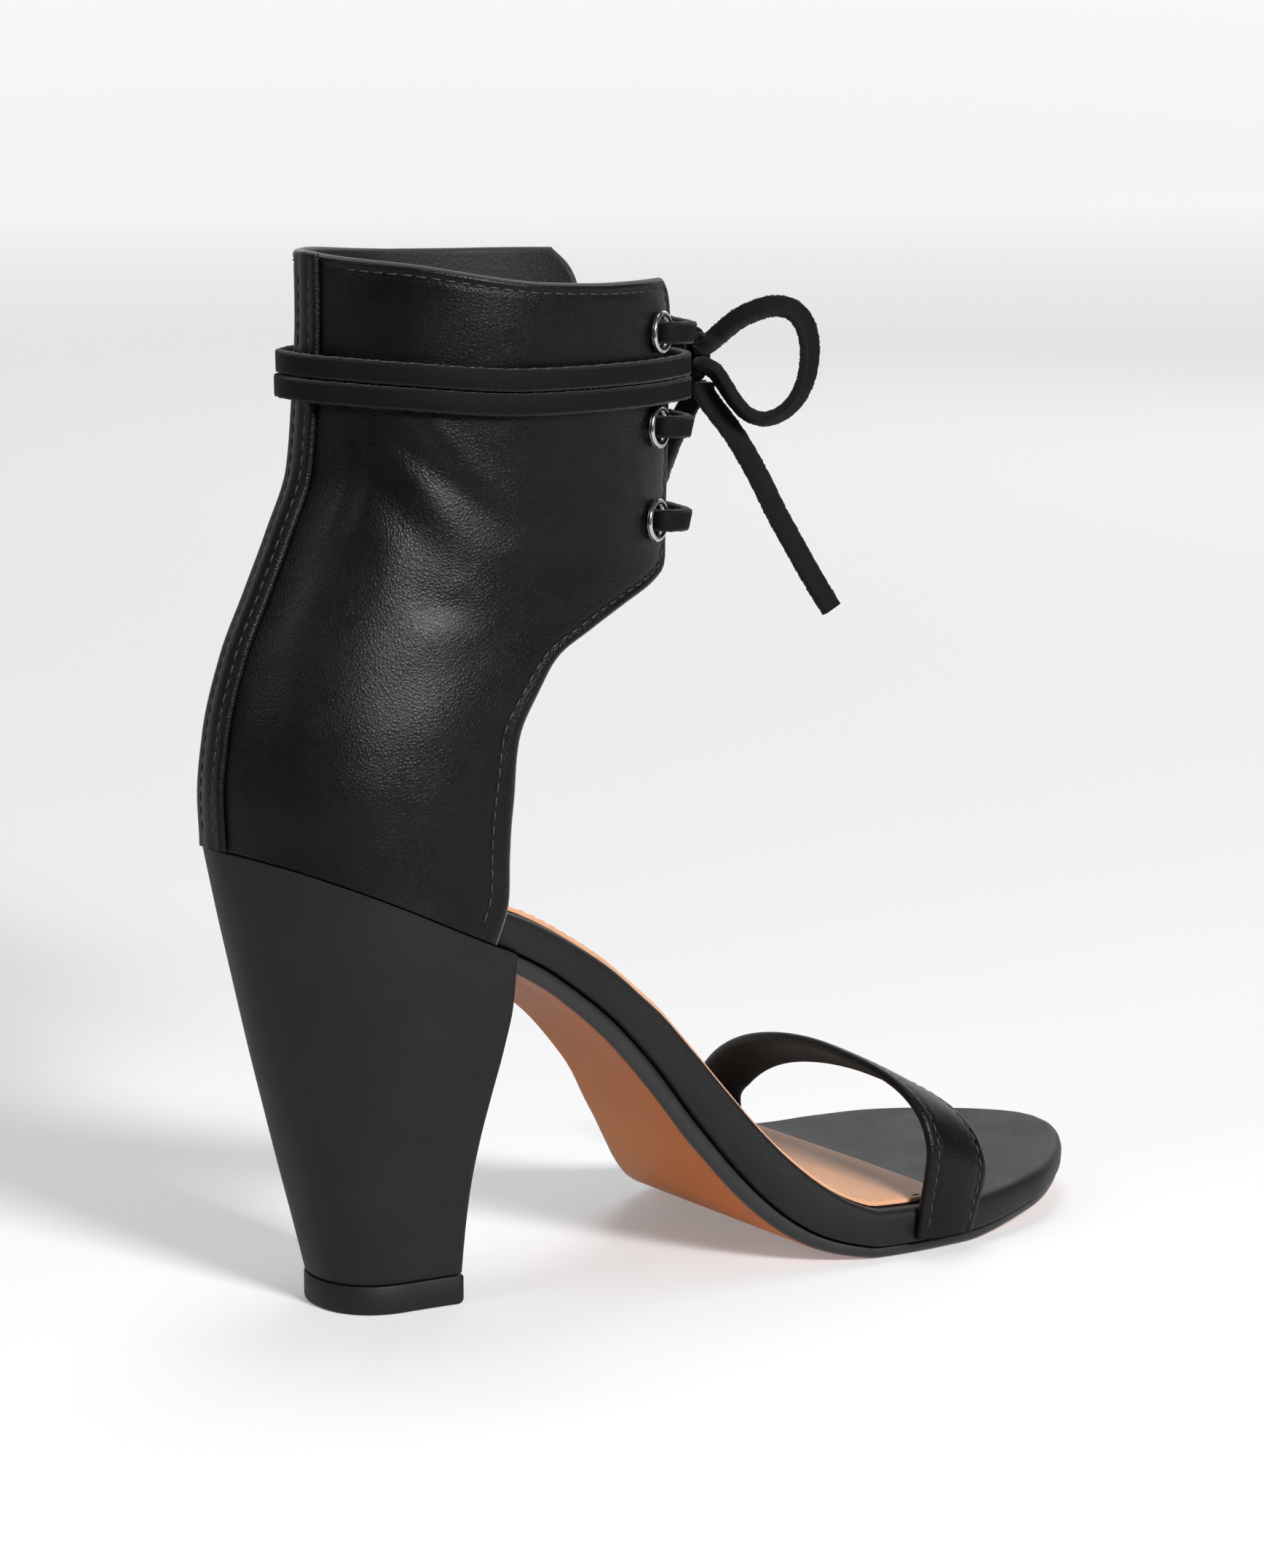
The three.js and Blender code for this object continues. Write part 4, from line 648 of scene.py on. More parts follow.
@dataclass(frozen=True)
class SoleLeather:
    """Vegetable-tanned sole leather, stained and waxed: warm brown, with painted light that makes it paler
    towards the inner side.
    """

    name: str = "waxed tan sole leather"

    def build(self) -> bpy.types.Material:
        """Make the material."""
        material = bpy.data.materials.new(self.name)
        material.use_nodes = True
        tree = material.node_tree
        shader = tree.nodes["Principled BSDF"]
        where = add_node(tree, "ShaderNodeTexCoord", {}).outputs["Object"]
        stretched = add_node(tree, "ShaderNodeMapping", {"Scale": (0.35, 1.0, 1.0)}, {"Vector": where})
        stain = noise(tree, stretched.outputs[0], 9, 6.0, 0.62)
        # Painted light: the colour grows paler towards the inner side along Y, standing in for the light that
        # falls there.
        apart = add_node(tree, "ShaderNodeSeparateXYZ", {}, {0: where})
        aside = add_node(
            tree, "ShaderNodeMapRange",
            {"From Min": -0.036, "From Max": 0.030, "To Min": 0.0, "To Max": 0.72},
            {"Value": apart.outputs["Y"]},
        )
        # The stain noise is the leather's own colour; the side gradient added to it is painted light.
        blend = add_node(
            tree, "ShaderNodeMath", {"operation": "MULTIPLY_ADD", 1: 0.35},
            {0: stain.outputs["Fac"], 2: aside.outputs[0]},
        )
        shades = [(0.05, "#9C4808"), (0.35, "#B05C18"), (0.75, "#B46C34"), (1.0, "#B87E52")]
        colour = ramp(tree, blend.outputs[0], shades)
        tree.links.new(colour, shader.inputs["Base Color"])
        pores = noise(tree, where, 0.7, 5.0)
        bump = add_node(
            tree, "ShaderNodeBump", {"Strength": 0.4, "Distance": 0.00005}, {"Height": pores.outputs["Fac"]},
        )
        tree.links.new(bump.outputs["Normal"], shader.inputs["Normal"])
        tree.links.new(spread_to(tree, stain.outputs["Fac"], 0.40, 0.50), shader.inputs["Roughness"])
        shader.inputs["IOR"].default_value = 1.5
        shader.inputs["Specular IOR Level"].default_value = 0.12
        return material


@dataclass(frozen=True)
class Finishes:
    """Every finish of the shoe, made once."""

    quarter: Hide = Hide(
        "black full grain calf", "#040405", "#080809", 0.35, 0.75, 0.060, coat=0.02, gloss=0.17,
    )
    lining: Hide = Hide("black pigskin lining", "#0B0B0C", "#131314", 0.62, 1.1, 0.06, gloss=0.3)
    raw_edge: Hide = Hide("raw cut leather edge", "#0E0D0D", "#1C1A1A", 0.9, 0.35, 0.14, Grain.NAP, 0.25)
    heel: Hide = Hide(
        "matte black heel cover leather", "#121213", "#181819", 0.60, 0.55, 0.045, Grain.MATTE, gloss=0.2,
    )
    footbed: Hide = Hide(
        "black nappa footbed wrap", "#0F0F10", "#141415", 0.50, 0.65, 0.045, Grain.MATTE, gloss=0.22,
    )
    sock: Hide = Hide("tan kid sock leather", "#B98460", "#C69674", 0.55, 0.8, 0.04)
    lace: Hide = Hide("black lace leather grain side", "#060606", "#0C0B0B", 0.66, 0.5, 0.07, gloss=0.1)
    nap: Hide = Hide(
        "black lace suede side", "#0C0B0B", "#181616", 0.95, 0.45, 0.20, Grain.NAP, 0.1, gloss=0.1,
    )
    edge_paint: Plain = Plain("black sole edge paint", "#090909", "#101010", 0.42, 0.0, 2.5, 0.03)
    sole: SoleLeather = SoleLeather()
    rubber: Plain = Plain("black moulded rubber", "#090909", "#0E0E0E", 0.60, 0.0, 0.8, 0.05, 1.35)
    nickel: Plain = Plain("polished nickel plate", "#B4B5B8", "#BEBFC2", 0.18, 1.0, 3.0, 0.004)
    thread: Plain = Plain("black waxed thread", "#141414", "#202020", 0.55, 0.0, 0.4, 0.05)
    tan_thread: Plain = Plain("tan waxed thread", "#A9744E", "#BC8861", 0.6, 0.0, 0.4, 0.05)


def only(piece: bpy.types.Object | None = None) -> None:
    """Deselect everything, then select and activate one piece."""
    bpy.ops.object.select_all(action="DESELECT")
    if piece is not None:
        piece.select_set(True)
        bpy.context.view_layer.objects.active = piece


def to_row(points: np.ndarray) -> np.ndarray:
    """Shoe millimetres to metres in the row frame."""
    return (np.asarray(points, dtype=float) - (TIP_SETBACK, 0, 0)) / 1000


def shaped_grid(
    name: str, rows: np.ndarray, slots: np.ndarray | None = None, angle: float = 40,
) -> bpy.types.Object:
    """Add a grid primitive, shape it to rows of points and weld its meeting edges.

    Args:
        name: the piece's name.
        rows: points in millimetres, rows by columns by 3.
        slots: material number of each face, one less than rows and columns, or None.
        angle: edges sharper than this stay sharp.

    Returns:
        The new object, closed and with its normals outwards.
    """
    only()
    up, across = rows.shape[:2]
    bpy.ops.mesh.primitive_grid_add(x_subdivisions=across - 1, y_subdivisions=up - 1, size=0.1)
    piece = bpy.context.active_object
    piece.name = name
    piece.data.name = name
    piece.data.vertices.foreach_set("co", to_row(rows.reshape(-1, 3)).astype(np.float32).ravel())
    if slots is not None:
        piece.data.polygons.foreach_set("material_index", slots.astype(np.int32).ravel())
    piece.data.update()
    bpy.ops.object.mode_set(mode="EDIT")
    bpy.ops.mesh.select_all(action="SELECT")
    bpy.ops.mesh.remove_doubles(threshold=3e-6)
    bpy.ops.mesh.normals_make_consistent(inside=False)
    bpy.ops.object.mode_set(mode="OBJECT")
    bpy.ops.object.shade_smooth_by_angle(angle=math.radians(angle))
    return piece


def coat(piece: bpy.types.Object, materials: Sequence[bpy.types.Material]) -> bpy.types.Object:
    """Append a piece's materials once, so that its faces keep their numbers."""
    if not piece.data.materials:
        for material in materials:
            piece.data.materials.append(material)
    return piece


def dress(
    piece: bpy.types.Object, materials: Sequence[bpy.types.Material], slot: str, *nodes: str,
) -> bpy.types.Object:
    """Give a piece its materials and body, and hide the solids it stands for."""
    coat(piece, materials)
    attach(piece, "root")
    if nodes:
        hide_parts(*nodes)
    log.info("%s: %d faces", piece.name, len(piece.data.polygons))
    return piece


def apply_modifiers(piece: bpy.types.Object) -> None:
    """Apply every modifier of a piece in order."""
    only(piece)
    for modifier in list(piece.modifiers):
        bpy.ops.object.modifier_apply(modifier=modifier.name)


def join(name: str, pieces: Sequence[bpy.types.Object]) -> bpy.types.Object:
    """Join pieces into the first one."""
    only(pieces[0])
    for piece in pieces:
        piece.select_set(True)
    bpy.ops.object.join()
    joined = bpy.context.active_object
    joined.name = name
    joined.data.name = name
    return joined


def unit(v: np.ndarray) -> np.ndarray:
    """Vectors scaled to length one."""
    return v / np.maximum(np.linalg.norm(v, axis=-1, keepdims=True), 1e-9)


def stitches(
    name: str, rows: Sequence[tuple[np.ndarray, np.ndarray]], pitch: float, long: float, thick: float,
) -> bpy.types.Object:
    """Sew stitches along lines: one is modelled, and the rest are its copies in one mesh.

    Args:
        name: the piece's name.
        rows: pairs of a line of points and the surface normals along it.
        pitch: distance from stitch to stitch.
        long: length of a stitch.
        thick: thickness of the thread.

    Returns:
        The stitches as one object.
    """
    only()
    bpy.ops.mesh.primitive_uv_sphere_add(segments=6, ring_count=5, radius=1)
    one = bpy.context.active_object
    shape = np.array([v.co for v in one.data.vertices])
    faces = [list(p.vertices) for p in one.data.polygons]
    bpy.data.objects.remove(one, do_unlink=True)
    shape = np.sign(shape) * np.abs(shape) ** np.array([1, 1, 0.6]) * (thick / 2, thick * 0.42, long / 2)
    points: list[np.ndarray] = []
    polygons: list[list[int]] = []
    for line, normals in rows:
        run = np.concatenate([[0], np.cumsum(np.linalg.norm(np.diff(line, axis=0), axis=1))])
        for place in np.arange(pitch * 0.7, run[-1] - pitch * 0.5, pitch):
            middle = np.array([np.interp(place, run, line[:, k]) for k in range(3)])
            ahead = np.array([np.interp(place + 0.4, run, line[:, k]) for k in range(3)])
            normal = unit(np.array([np.interp(place, run, normals[:, k]) for k in range(3)]))
            tangent = unit(ahead - middle)
            across = unit(np.cross(normal, tangent))
            start = sum(len(p) for p in points)
            bow = -0.18 * (shape[:, 2:3] / (long / 2)) ** 2
            stand = (shape[:, 1:2] + 0.10 + bow) * normal
            points.append(middle + shape[:, 0:1] * across + stand + shape[:, 2:3] * tangent)
            polygons.extend([[start + i for i in face] for face in faces])
    mesh = bpy.data.meshes.new(name)
    mesh.from_pydata(to_row(np.vstack(points)).tolist(), [], polygons)
    piece = bpy.data.objects.new(name, mesh)
    bpy.context.scene.collection.objects.link(piece)
    only(piece)
    bpy.ops.object.mode_set(mode="EDIT")
    bpy.ops.mesh.select_all(action="SELECT")
    bpy.ops.mesh.normals_make_consistent(inside=False)
    bpy.ops.object.mode_set(mode="OBJECT")
    bpy.ops.object.shade_smooth()
    return piece


def slab_rows(
    stations: np.ndarray, outer: np.ndarray, inner: np.ndarray, drift: np.ndarray,
    rings: Sequence[tuple[float, float, Surface]],
) -> np.ndarray:
    """Rings of points round a slab with a curved outline.

    Args:
        stations: places along the foot.
        outer: half width at each station on the outer side.
        inner: half width at each station on the inner side.
        drift: sideways shift at each station.
        rings: for each ring, how far it lies in from the edge, the share of the width that it keeps
            and its height as a function of x.

    Returns:
        Points, rings by outline by 3, the last of each ring equal to its first.
    """
    x = np.concatenate([stations, stations[-2:0:-1]])
    y = np.concatenate([-outer + drift, (inner + drift)[-2:0:-1]])
    middle_all = np.concatenate([drift + (inner - outer) / 2, (drift + (inner - outer) / 2)[-2:0:-1]])
    outline = np.stack([x, y], axis=1)
    run = np.roll(outline, -1, axis=0) - np.roll(outline, 1, axis=0)
    run = unit(run)
    normal = np.stack([-run[:, 1], run[:, 0]], axis=1)
    rows = []
    for inset, share, height in rings:
        place = outline + normal * inset
        across = middle_all + (place[:, 1] - middle_all) * share
        row = np.stack([place[:, 0], across, height(place[:, 0])], axis=1)
        rows.append(np.vstack([row, row[:1]]))
    return np.array(rows)


def eased(start: float, end: float, count: int) -> np.ndarray:
    """Stations closer together towards both ends."""
    t = np.linspace(0, 1, count + 1)
    return start + (end - start) * (0.35 * t + 0.65 * (1 - np.cos(np.pi * t)) / 2)


def thong_rows(
    path: np.ndarray, across: np.ndarray, width: float = LACE_WIDTH, thick: float = LACE_THICK,
) -> np.ndarray:
    """Rings of a flat lace swept along a path.

    Args:
        path: centreline.
        across: direction of the lace's width at each point.
        width: width of the lace.
        thick: thickness of the lace.

    Returns:
        Points, rings by section by 3, closed round and at both ends.
    """
    tangent = unit(np.gradient(path, axis=0))
    side = unit(across - tangent * (across * tangent).sum(axis=1, keepdims=True))
    up = np.cross(tangent, side)
    w, h, r = width / 2, thick / 2, 0.55
    corner = []
    for cx, cy, start in ((w - r, h - r, 0), (-w + r, h - r, 1), (-w + r, -h + r, 2), (w - r, -h + r, 3)):
        for k in range(3):
            angle = (start + k / 2) * np.pi / 2
            corner.append((cx + r * np.cos(angle), cy + r * np.sin(angle)))
    section = np.array(corner)
    section = np.vstack([section, section[:1]])
    rings = path[:, None] + section[None, :, 0:1] * side[:, None] + section[None, :, 1:2] * up[:, None]
    first = np.repeat(path[:1, None], len(section), axis=1).reshape(1, -1, 3)
    last = np.repeat(path[-1:, None], len(section), axis=1).reshape(1, -1, 3)
    near = (rings[:1] - path[0]) * 0.9 + path[0]
    far = (rings[-1:] - path[-1]) * 0.9 + path[-1]
    return np.concatenate([first, near, rings, far, last])


def frayed(rows: np.ndarray, amount: float = 0.11) -> np.ndarray:
    """Uneven cut edges and a little waviness along a lace."""
    centre = rows[:, :-1].mean(axis=1, keepdims=True)
    i = np.arange(rows.shape[0])[:, None]
    k = (np.arange(rows.shape[1]) % (rows.shape[1] - 1))[None]
    rough = np.sin(i * 1.93 + k * 2.1) * np.sin(i * 0.71 + k * 0.9) + 0.6 * np.sin(i * 3.37 + k * 4.7)
    ends = np.clip(np.minimum(i - 2, rows.shape[0] - 3 - i), 0, 1)
    return rows + unit(rows - centre) * (amount * rough * ends)[..., None]


def thong_slots(rows: np.ndarray) -> np.ndarray:
    """Grain on both broad faces of a lace, nap on its cut edges."""
    slots = np.ones((rows.shape[0] - 1, rows.shape[1] - 1))
    slots[:, 2] = 0
    slots[:, 8] = 0
    return slots


class Sole:
    """Outsole, footbed and insole."""

    def outsole(self, look: Finishes) -> None:
        """Thin outsole with a painted edge and a waxed tan underside."""
        x = eased(SOLE_FROM, SOLE_END, 110)
        top = beside(feather, -GAP)
        rings = [(1.5, k, sole_bottom) for k in (0.0, 0.3, 0.6, 0.85, 0.97, 1)]
        rings += [(inset, 1, raised(sole_bottom, up)) for inset, up in ((0.9, 0.12), (0.35, 0.5), (0, 1.1))]
        rings += [(0, 1, raised(top, -0.5)), (0.15, 1, raised(top, -0.15))]
        rings += [(0.4, k, top) for k in (1, 0.9, 0.5, 0.0)]
        rows = slab_rows(x, sole_edge("soleOuter", x), sole_edge("soleInner", x), toe_drift(x), rings)
        slots = np.zeros((rows.shape[0] - 1, rows.shape[1] - 1))
        slots[6:] = 1
        piece = shaped_grid("outsole_leather", rows, slots, 50)
        dress(piece, [look.sole.build(), look.edge_paint.build()], "tan_sole", "outsole")

    def footbed(self, look: Finishes) -> None:
        """Footbed with its leather wrapped over the edge."""
        x = eased(BED_FROM, SOLE_LENGTH, 130)
        rounding = ((0, 1.9), (0.22, 1.1), (0.7, 0.5), (1.3, 0.15))
        rings = [(0.9, k, feather) for k in (0.0, 0.5, 0.9, 1)]
        rings += [(0.3, 1, raised(feather, 0.2)), (0, 1, raised(feather, 0.8))]
        rings += [(-0.12, 1, lambda v: (feather(v) + bed_top(v)) / 2)]
        rings += [(inset, 1, raised(bed_top, -down)) for inset, down in rounding]
        rings += [(2.0, k, bed_top) for k in (1, 0.97, 0.85, 0.6, 0.3, 0.0)]
        rows = slab_rows(x, bed_edge("outer", x), bed_edge("inner", x), toe_drift(x), rings)
        piece = shaped_grid("footbed_wrap", rows, None, 60)
        dress(piece, [look.footbed.build()], "black_leather", "footbed")

    def insole(self, look: Finishes) -> None:
        """Thin tan sock, sewn near its edge."""
        start = BED_FROM + INSOLE_INSET
        x = eased(start, INSOLE_REACH, 90)
        bed = {side: bed_edge(side, x) for side in ("outer", "inner")}
        shrink = np.maximum(round_end(x - BED_FROM, SEAT_REACH - BED_FROM, BED_POWER), 0.2)
        ends = round_end(x - start, SEAT_REACH - start, BED_POWER)
        ends = ends * round_end(INSOLE_REACH - x, INSOLE_CORNER, 6)
        room = {s: b - INSOLE_INSET for s, b in bed.items()}
        width = {s: np.maximum(0, np.minimum(r, r * ends / shrink)) for s, r in room.items()}
        under = beside(bed_top, GAP)
        over = beside(bed_top, GAP + INSOLE_THICK)
        rings = [(0.3, k, under) for k in (0.0, 0.9)]
        rings += [(0, 1, under), (0, 1, raised(over, -0.45)), (0.15, 1, raised(over, -0.15))]
        rings += [(0.5, k, over) for k in (1, 0.93, 0.6, 0.3, 0.0)]
        rows = slab_rows(x, width["outer"], width["inner"], x * 0, rings)
        piece = shaped_grid("insole_sock", rows, None, 50)
        dress(piece, [look.sock.build()], "tan_sock", "insole")
        along = np.linspace(60, INSOLE_REACH - 5, 90)
        lines = []
        for side, hand in (("outer", -1), ("inner", 1)):
            y = hand * (bed_edge(side, along) - INSOLE_INSET - 1.8)
            line = np.stack([along, y, over(along) + 0.02], axis=1)
            slope = unit(np.stack([-np.gradient(over(along), along), along * 0, along * 0 + 1], axis=1))
            lines.append((line, slope))
        sewn = stitches("insole_stitches", lines, 3.0, 2.1, 0.45)
        dress(sewn, [look.tan_thread.build()], "tan_sock")


class Heel:
    """Leather-covered heel and its rubber top piece."""

    def outline(self, up: float, grow: float = 0) -> np.ndarray:
        """Closed section of the heel at a height, in plan."""
        blend = float(HEEL_BLEND(up))
        back = (TIP_SETBACK - TIP_LENGTH / 2) * float(HEEL_BACK(up)) / TIP_BACK - grow
        tip_breast = TIP_SETBACK + TIP_LENGTH / 2
        forward = (float(HEEL_BREAST(up)) - TIP_BREAST) / (1 - TIP_BREAST)
        breast = tip_breast + (BREAST_REACH - tip_breast) * forward + grow
        middle = mixed(back + (breast - back) * 0.55, SEAT_REACH, blend)
        half_back = mixed(TIP_WIDTH / 2 - 0.9, SEAT_WIDTH / 2, blend) + grow
        half_front = mixed(TIP_WIDTH / 2, SEAT_WIDTH / 2 - 0.2, blend) + grow
        corner = mixed(1.4, 4.2, blend)
        power = 2 / mixed(2.3, 1.8, blend)
        curve = []
        for a in np.linspace(0, np.pi / 2, 29)[:-1]:
            curve.append((middle - (middle - back) * math.cos(a) ** power, half_back * math.sin(a) ** power))
        curve.append((middle, half_back))
        straight = breast - corner - middle
        slope = (half_front - half_back) / (breast - middle)
        curve += [(middle + straight * t, half_back + slope * straight * t) for t in (0.25, 0.5, 0.75)]
        turn = np.linspace(0, np.pi / 2, 9)
        for a in turn:
            curve.append((breast - corner + corner * math.sin(a), half_front - corner + corner * math.cos(a)))
        curve += [(breast, (half_front - corner) * t) for t in (0.66, 0.33, 0.0)]
        whole = curve + [(a, -b) for a, b in curve[-2:0:-1]] + [curve[0]]
        return np.array(whole)

    def block(self, look: Finishes) -> None:
        """Covered heel, recessed for the end of the outsole."""
        low = TIP_HEIGHT + GAP
        rows = []
        for share in np.concatenate([[0, 0.004], np.linspace(0.02, 0.985, 34), [0.996, 1.0]]):
            ring = self.outline(low / SEAT_HEIGHT + share * (1 - low / SEAT_HEIGHT))
            inset = 0.35 * (share == 0) + 0.25 * (share == 1.0)
            centre = ring.mean(axis=0)
            ring = centre + (ring - centre) * (1 - inset / 20)
            seat = feather(ring[:, 0]) - GAP * steepness(ring[:, 0])
            rows.append(np.column_stack([ring, low + share * (seat - low)]))
        for end in (0, -1):
            flat = rows[end]
            inner = []
            for keep in (0.9, 0.6, 0.3, 0.0):
                shrunk = flat.copy()
                shrunk[:, 1] *= keep
                if end:
                    shrunk[:, 2] = feather(shrunk[:, 0]) - GAP * steepness(shrunk[:, 0])
                inner.append(shrunk)
            rows = inner[::-1] + rows if end == 0 else rows + inner
        piece = shaped_grid("heel_cover", np.array(rows), None, 35)
        recess_from = SOLE_FROM - 2 * GAP
        x = eased(recess_from, SOLE_LENGTH * 0.4, 60)
        ends = round_end(x - recess_from, SOLE_CORNER + 0.2, 5) * round_end(SOLE_LENGTH * 0.4 - x, 0.8, 6)
        width = {c: (BALL_WIDTH * EDGES[c](x / SOLE_LENGTH) + 0.6) * ends for c in ("soleOuter", "soleInner")}
        rings = [(0, k, beside(sole_under, -2 * GAP)) for k in (0.0, 0.5, 1.0)]
        rings += [(0, k, raised(feather, 12)) for k in (1.0, 0.5, 0.0)]
        box = slab_rows(x, width["soleOuter"], width["soleInner"], x * 0, rings)
        cutter = shaped_grid("recess_cutter", box)
        cut = piece.modifiers.new("recess", "BOOLEAN")
        cut.operation = "DIFFERENCE"
        cut.solver = "EXACT"
        cut.object = cutter
        apply_modifiers(piece)
        bpy.data.objects.remove(cutter, do_unlink=True)
        only(piece)
        bpy.ops.object.shade_smooth_by_angle(angle=math.radians(35))
        dress(piece, [look.heel.build()], "heel_leather", "heel")

    def tip(self, look: Finishes) -> None:
        """Rubber top piece with a softened lower edge."""
        rows = []
        edge = [(-0.5, 0.0), (-0.1, 0.12), (0.15, 0.45), (0.3, 1.0), (0.3, 3.0)]
        for grow, z in edge + [(0.3, TIP_HEIGHT - 0.4), (0.1, TIP_HEIGHT)]:
            ring = self.outline(TIP_SHARE, grow)
            rows.append(np.column_stack([ring, np.full(len(ring), z)]))
        flat = [rows[0] * (1, keep, 1) for keep in (0.0, 0.5, 0.9)]
        lid = [rows[-1] * (1, keep, 1) for keep in (0.9, 0.5, 0.0)]
        piece = shaped_grid("heel_top_piece", np.array(flat + rows + lid), None, 35)
        dress(piece, [look.rubber.build()], "black_rubber", "heel_tip")


class Ankle:
    """Cuff with quarters, back strip, eyelets and their stitches."""

    def lines(self) -> tuple[np.ndarray, np.ndarray]:
        """Sides and rises of the cuff's grid, closer together at its edges."""
        from_edge = np.array([0, 0.14, 0.35, 0.65, 1.0, 1.5, 2.1, 2.7, 3.4, 4.6])
        near = from_edge / QUARTER_WIDE
        half = np.concatenate([near, np.linspace(near[-1], 1, 62)[1:]])
        sides = np.concatenate([half - 1, (1 - half)[::-1][1:]])
        top = from_edge / QUARTER_HIGH
        rises = np.concatenate([np.linspace(0, 1 - top[-1], 92), (1 - top)[::-1][1:]])
        return sides, rises

    def spots(self) -> list[tuple[int, int, np.ndarray, np.ndarray]]:
        """Hand, step, place and outward normal of each eyelet."""
        found = []
        for hand in (-1, 1):
            for step in range(3):
                z = EYELET_TOP - step * EYELET_PITCH
                turn = float(turn_at(z, EYELET_REACH)) * hand
                x, y = oval(z, turn)
                normal = square_to_oval(z, turn)
                if normal[1] * hand < 0:
                    normal = -normal
                found.append((hand, step, np.array([float(x), float(y), z]), normal))
        return found

    def cuff(self, look: Finishes) -> None:
        """Leather cuff and quarters as one shell with turned edges."""
        sides, rises = self.lines()
        side, rise = np.meshgrid(sides, rises)
        outer = UPPER.point(side, rise)
        normal = UPPER.normal(side, rise)
        to_front, to_top = UPPER.margins(side, rise)
        margin = np.minimum(to_front, to_top)
        r = WALL / 2
        drop = np.where(margin < r, r - np.sqrt(np.maximum(0, r * r - (r - margin) ** 2)), 0)
        roll = 0.16 * np.exp(-(((margin - 1.3) / 0.7) ** 2)) - 0.22 * np.exp(-(((margin - 2.5) / 0.45) ** 2))
        soft = np.clip((margin - 3) / 6, 0, 1) * np.clip(rise / 0.08, 0, 1)
        shift = relief(side, rise) * soft + np.where(margin < 6, roll, 0) * np.clip(margin / 0.8, 0, 1)
        face = outer + normal * (shift - drop)[..., None]
        lining = outer + normal * (drop - WALL)[..., None]
        rows = np.concatenate([face, lining[::-1][1:], face[:1]])
        slots = np.zeros((rows.shape[0] - 1, rows.shape[1] - 1))
        count = len(rises)
        slots[count - 1:] = 1
        raw = 3
        slots[count - 1 - raw:count - 1 + raw] = 2
        slots[:, :2] = 2
        slots[:, -2:] = 2
        piece = shaped_grid("cuff_leather", rows, slots, 55)
        coat(piece, [look.quarter.build(), look.lining.build(), look.raw_edge.build()])
        cutters = []
        for _, _, place, n in self.spots():
            only()
            bpy.ops.mesh.primitive_cylinder_add(vertices=32, radius=(EYELET_BORE + 0.6) / 1000, depth=0.014)
            cutter = bpy.context.active_object
            turn = Vector((0, 0, 1)).rotation_difference(Vector(n)).to_matrix().to_4x4()
            cutter.data.transform(Matrix.Translation(Vector(to_row(place))) @ turn)
            cutters.append(cutter)
        cutter = join("eyelet_cutter", cutters)
        cut = piece.modifiers.new("holes", "BOOLEAN")
        cut.operation = "DIFFERENCE"
        cut.solver = "EXACT"
        cut.object = cutter
        apply_modifiers(piece)
        bpy.data.objects.remove(cutter, do_unlink=True)
        dress(piece, [], "black_leather", "ankle_cuff")

    def strip_side(self, rise: np.ndarray) -> np.ndarray:
        """Side of the upper at which the back strip's edge lies."""
        half = STRIP_WIDTH / 2 * (1.06 - 0.12 * rise)
        low = np.zeros_like(rise)
        high = np.full_like(rise, 0.5)
        for _ in range(30):
            middle = (low + high) / 2
            short = UPPER.point(middle, rise)[..., 1] < half * 1.06
            low = np.where(short, middle, low)
            high = np.where(short, high, middle)
        return low

    def strip(self, look: Finishes) -> None:
        """Back strip with rolled edges, sewn down each side."""
        top = np.array([0, 0.12, 0.3, 0.6, 1.0]) / QUARTER_HIGH
        rises = np.concatenate([np.linspace(0, 1 - top[-1], 84), (1 - top)[::-1][1:]])
        one_side = np.array([0.25, 0.5, 0.7, 0.78, 0.84, 0.9, 0.955, 0.985, 1])
        shares = np.concatenate([-one_side[::-1], [0], one_side])
        share, rise = np.meshgrid(shares, rises)
        reach = self.strip_side(rises)
        side = share * reach[:, None]
        point = UPPER.point(side, rise)
        normal = UPPER.normal(side, rise)
        half = STRIP_WIDTH / 2
        margin = np.minimum((1 - np.abs(share)) * half, (1 - rise) * QUARTER_HIGH)
        height = STRIP_THICK * np.sqrt(np.clip(1 - (1 - np.clip(margin / 0.7, 0, 1)) ** 2, 0, 1))
        groove = 0.24 * np.exp(-((((1 - np.abs(share)) * half - STRIP_STITCH) / 0.4) ** 2))
        face = point + normal * (GAP + height - groove * (margin > 0.8))[..., None]
        back = point + normal * GAP
        rows = np.concatenate([face, back[::-1], face[:1]])
        piece = shaped_grid("back_strip_leather", rows, None, 55)
        dress(piece, [look.quarter.build()], "black_leather", "back_strip")
        lines = []
        rise = np.linspace(0.02, 0.985, 120)
        for hand in (-1, 1):
            at = self.strip_side(rise) * hand * (1 - STRIP_STITCH / half)
            n = UPPER.normal(at, rise)
            lines.append((UPPER.point(at, rise) + n * (GAP + STRIP_THICK - 0.22), n))
        sewn = stitches("back_strip_stitches", lines, 2.9, 2.2, 0.5)
        dress(sewn, [look.thread.build()], "black_leather")

    def seams(self, look: Finishes) -> None:
        """Stitch rows round the top edge and down both front edges."""
        lines = []
        side = np.linspace(-0.965, 0.965, 220)
        at_top = np.full_like(side, 1 - STITCH_INSET / QUARTER_HIGH)
        for low, high in ((-0.965, -0.14), (0.14, 0.965)):
            keep = (side > low) & (side < high)
            n = UPPER.normal(side[keep], at_top[keep])
            lines.append((UPPER.point(side[keep], at_top[keep]) - n * 0.10, n))
        rise = np.linspace(0.015, 0.975, 200)
        for hand in (-1, 1):
            at = np.full_like(rise, hand * (1 - STITCH_INSET / QUARTER_WIDE))
            n = UPPER.normal(at, rise)
            lines.append((UPPER.point(at, rise) - n * 0.10, n))
        sewn = stitches("cuff_stitches", lines, 2.9, 2.2, 0.48)
        dress(sewn, [look.thread.build()], "black_leather")

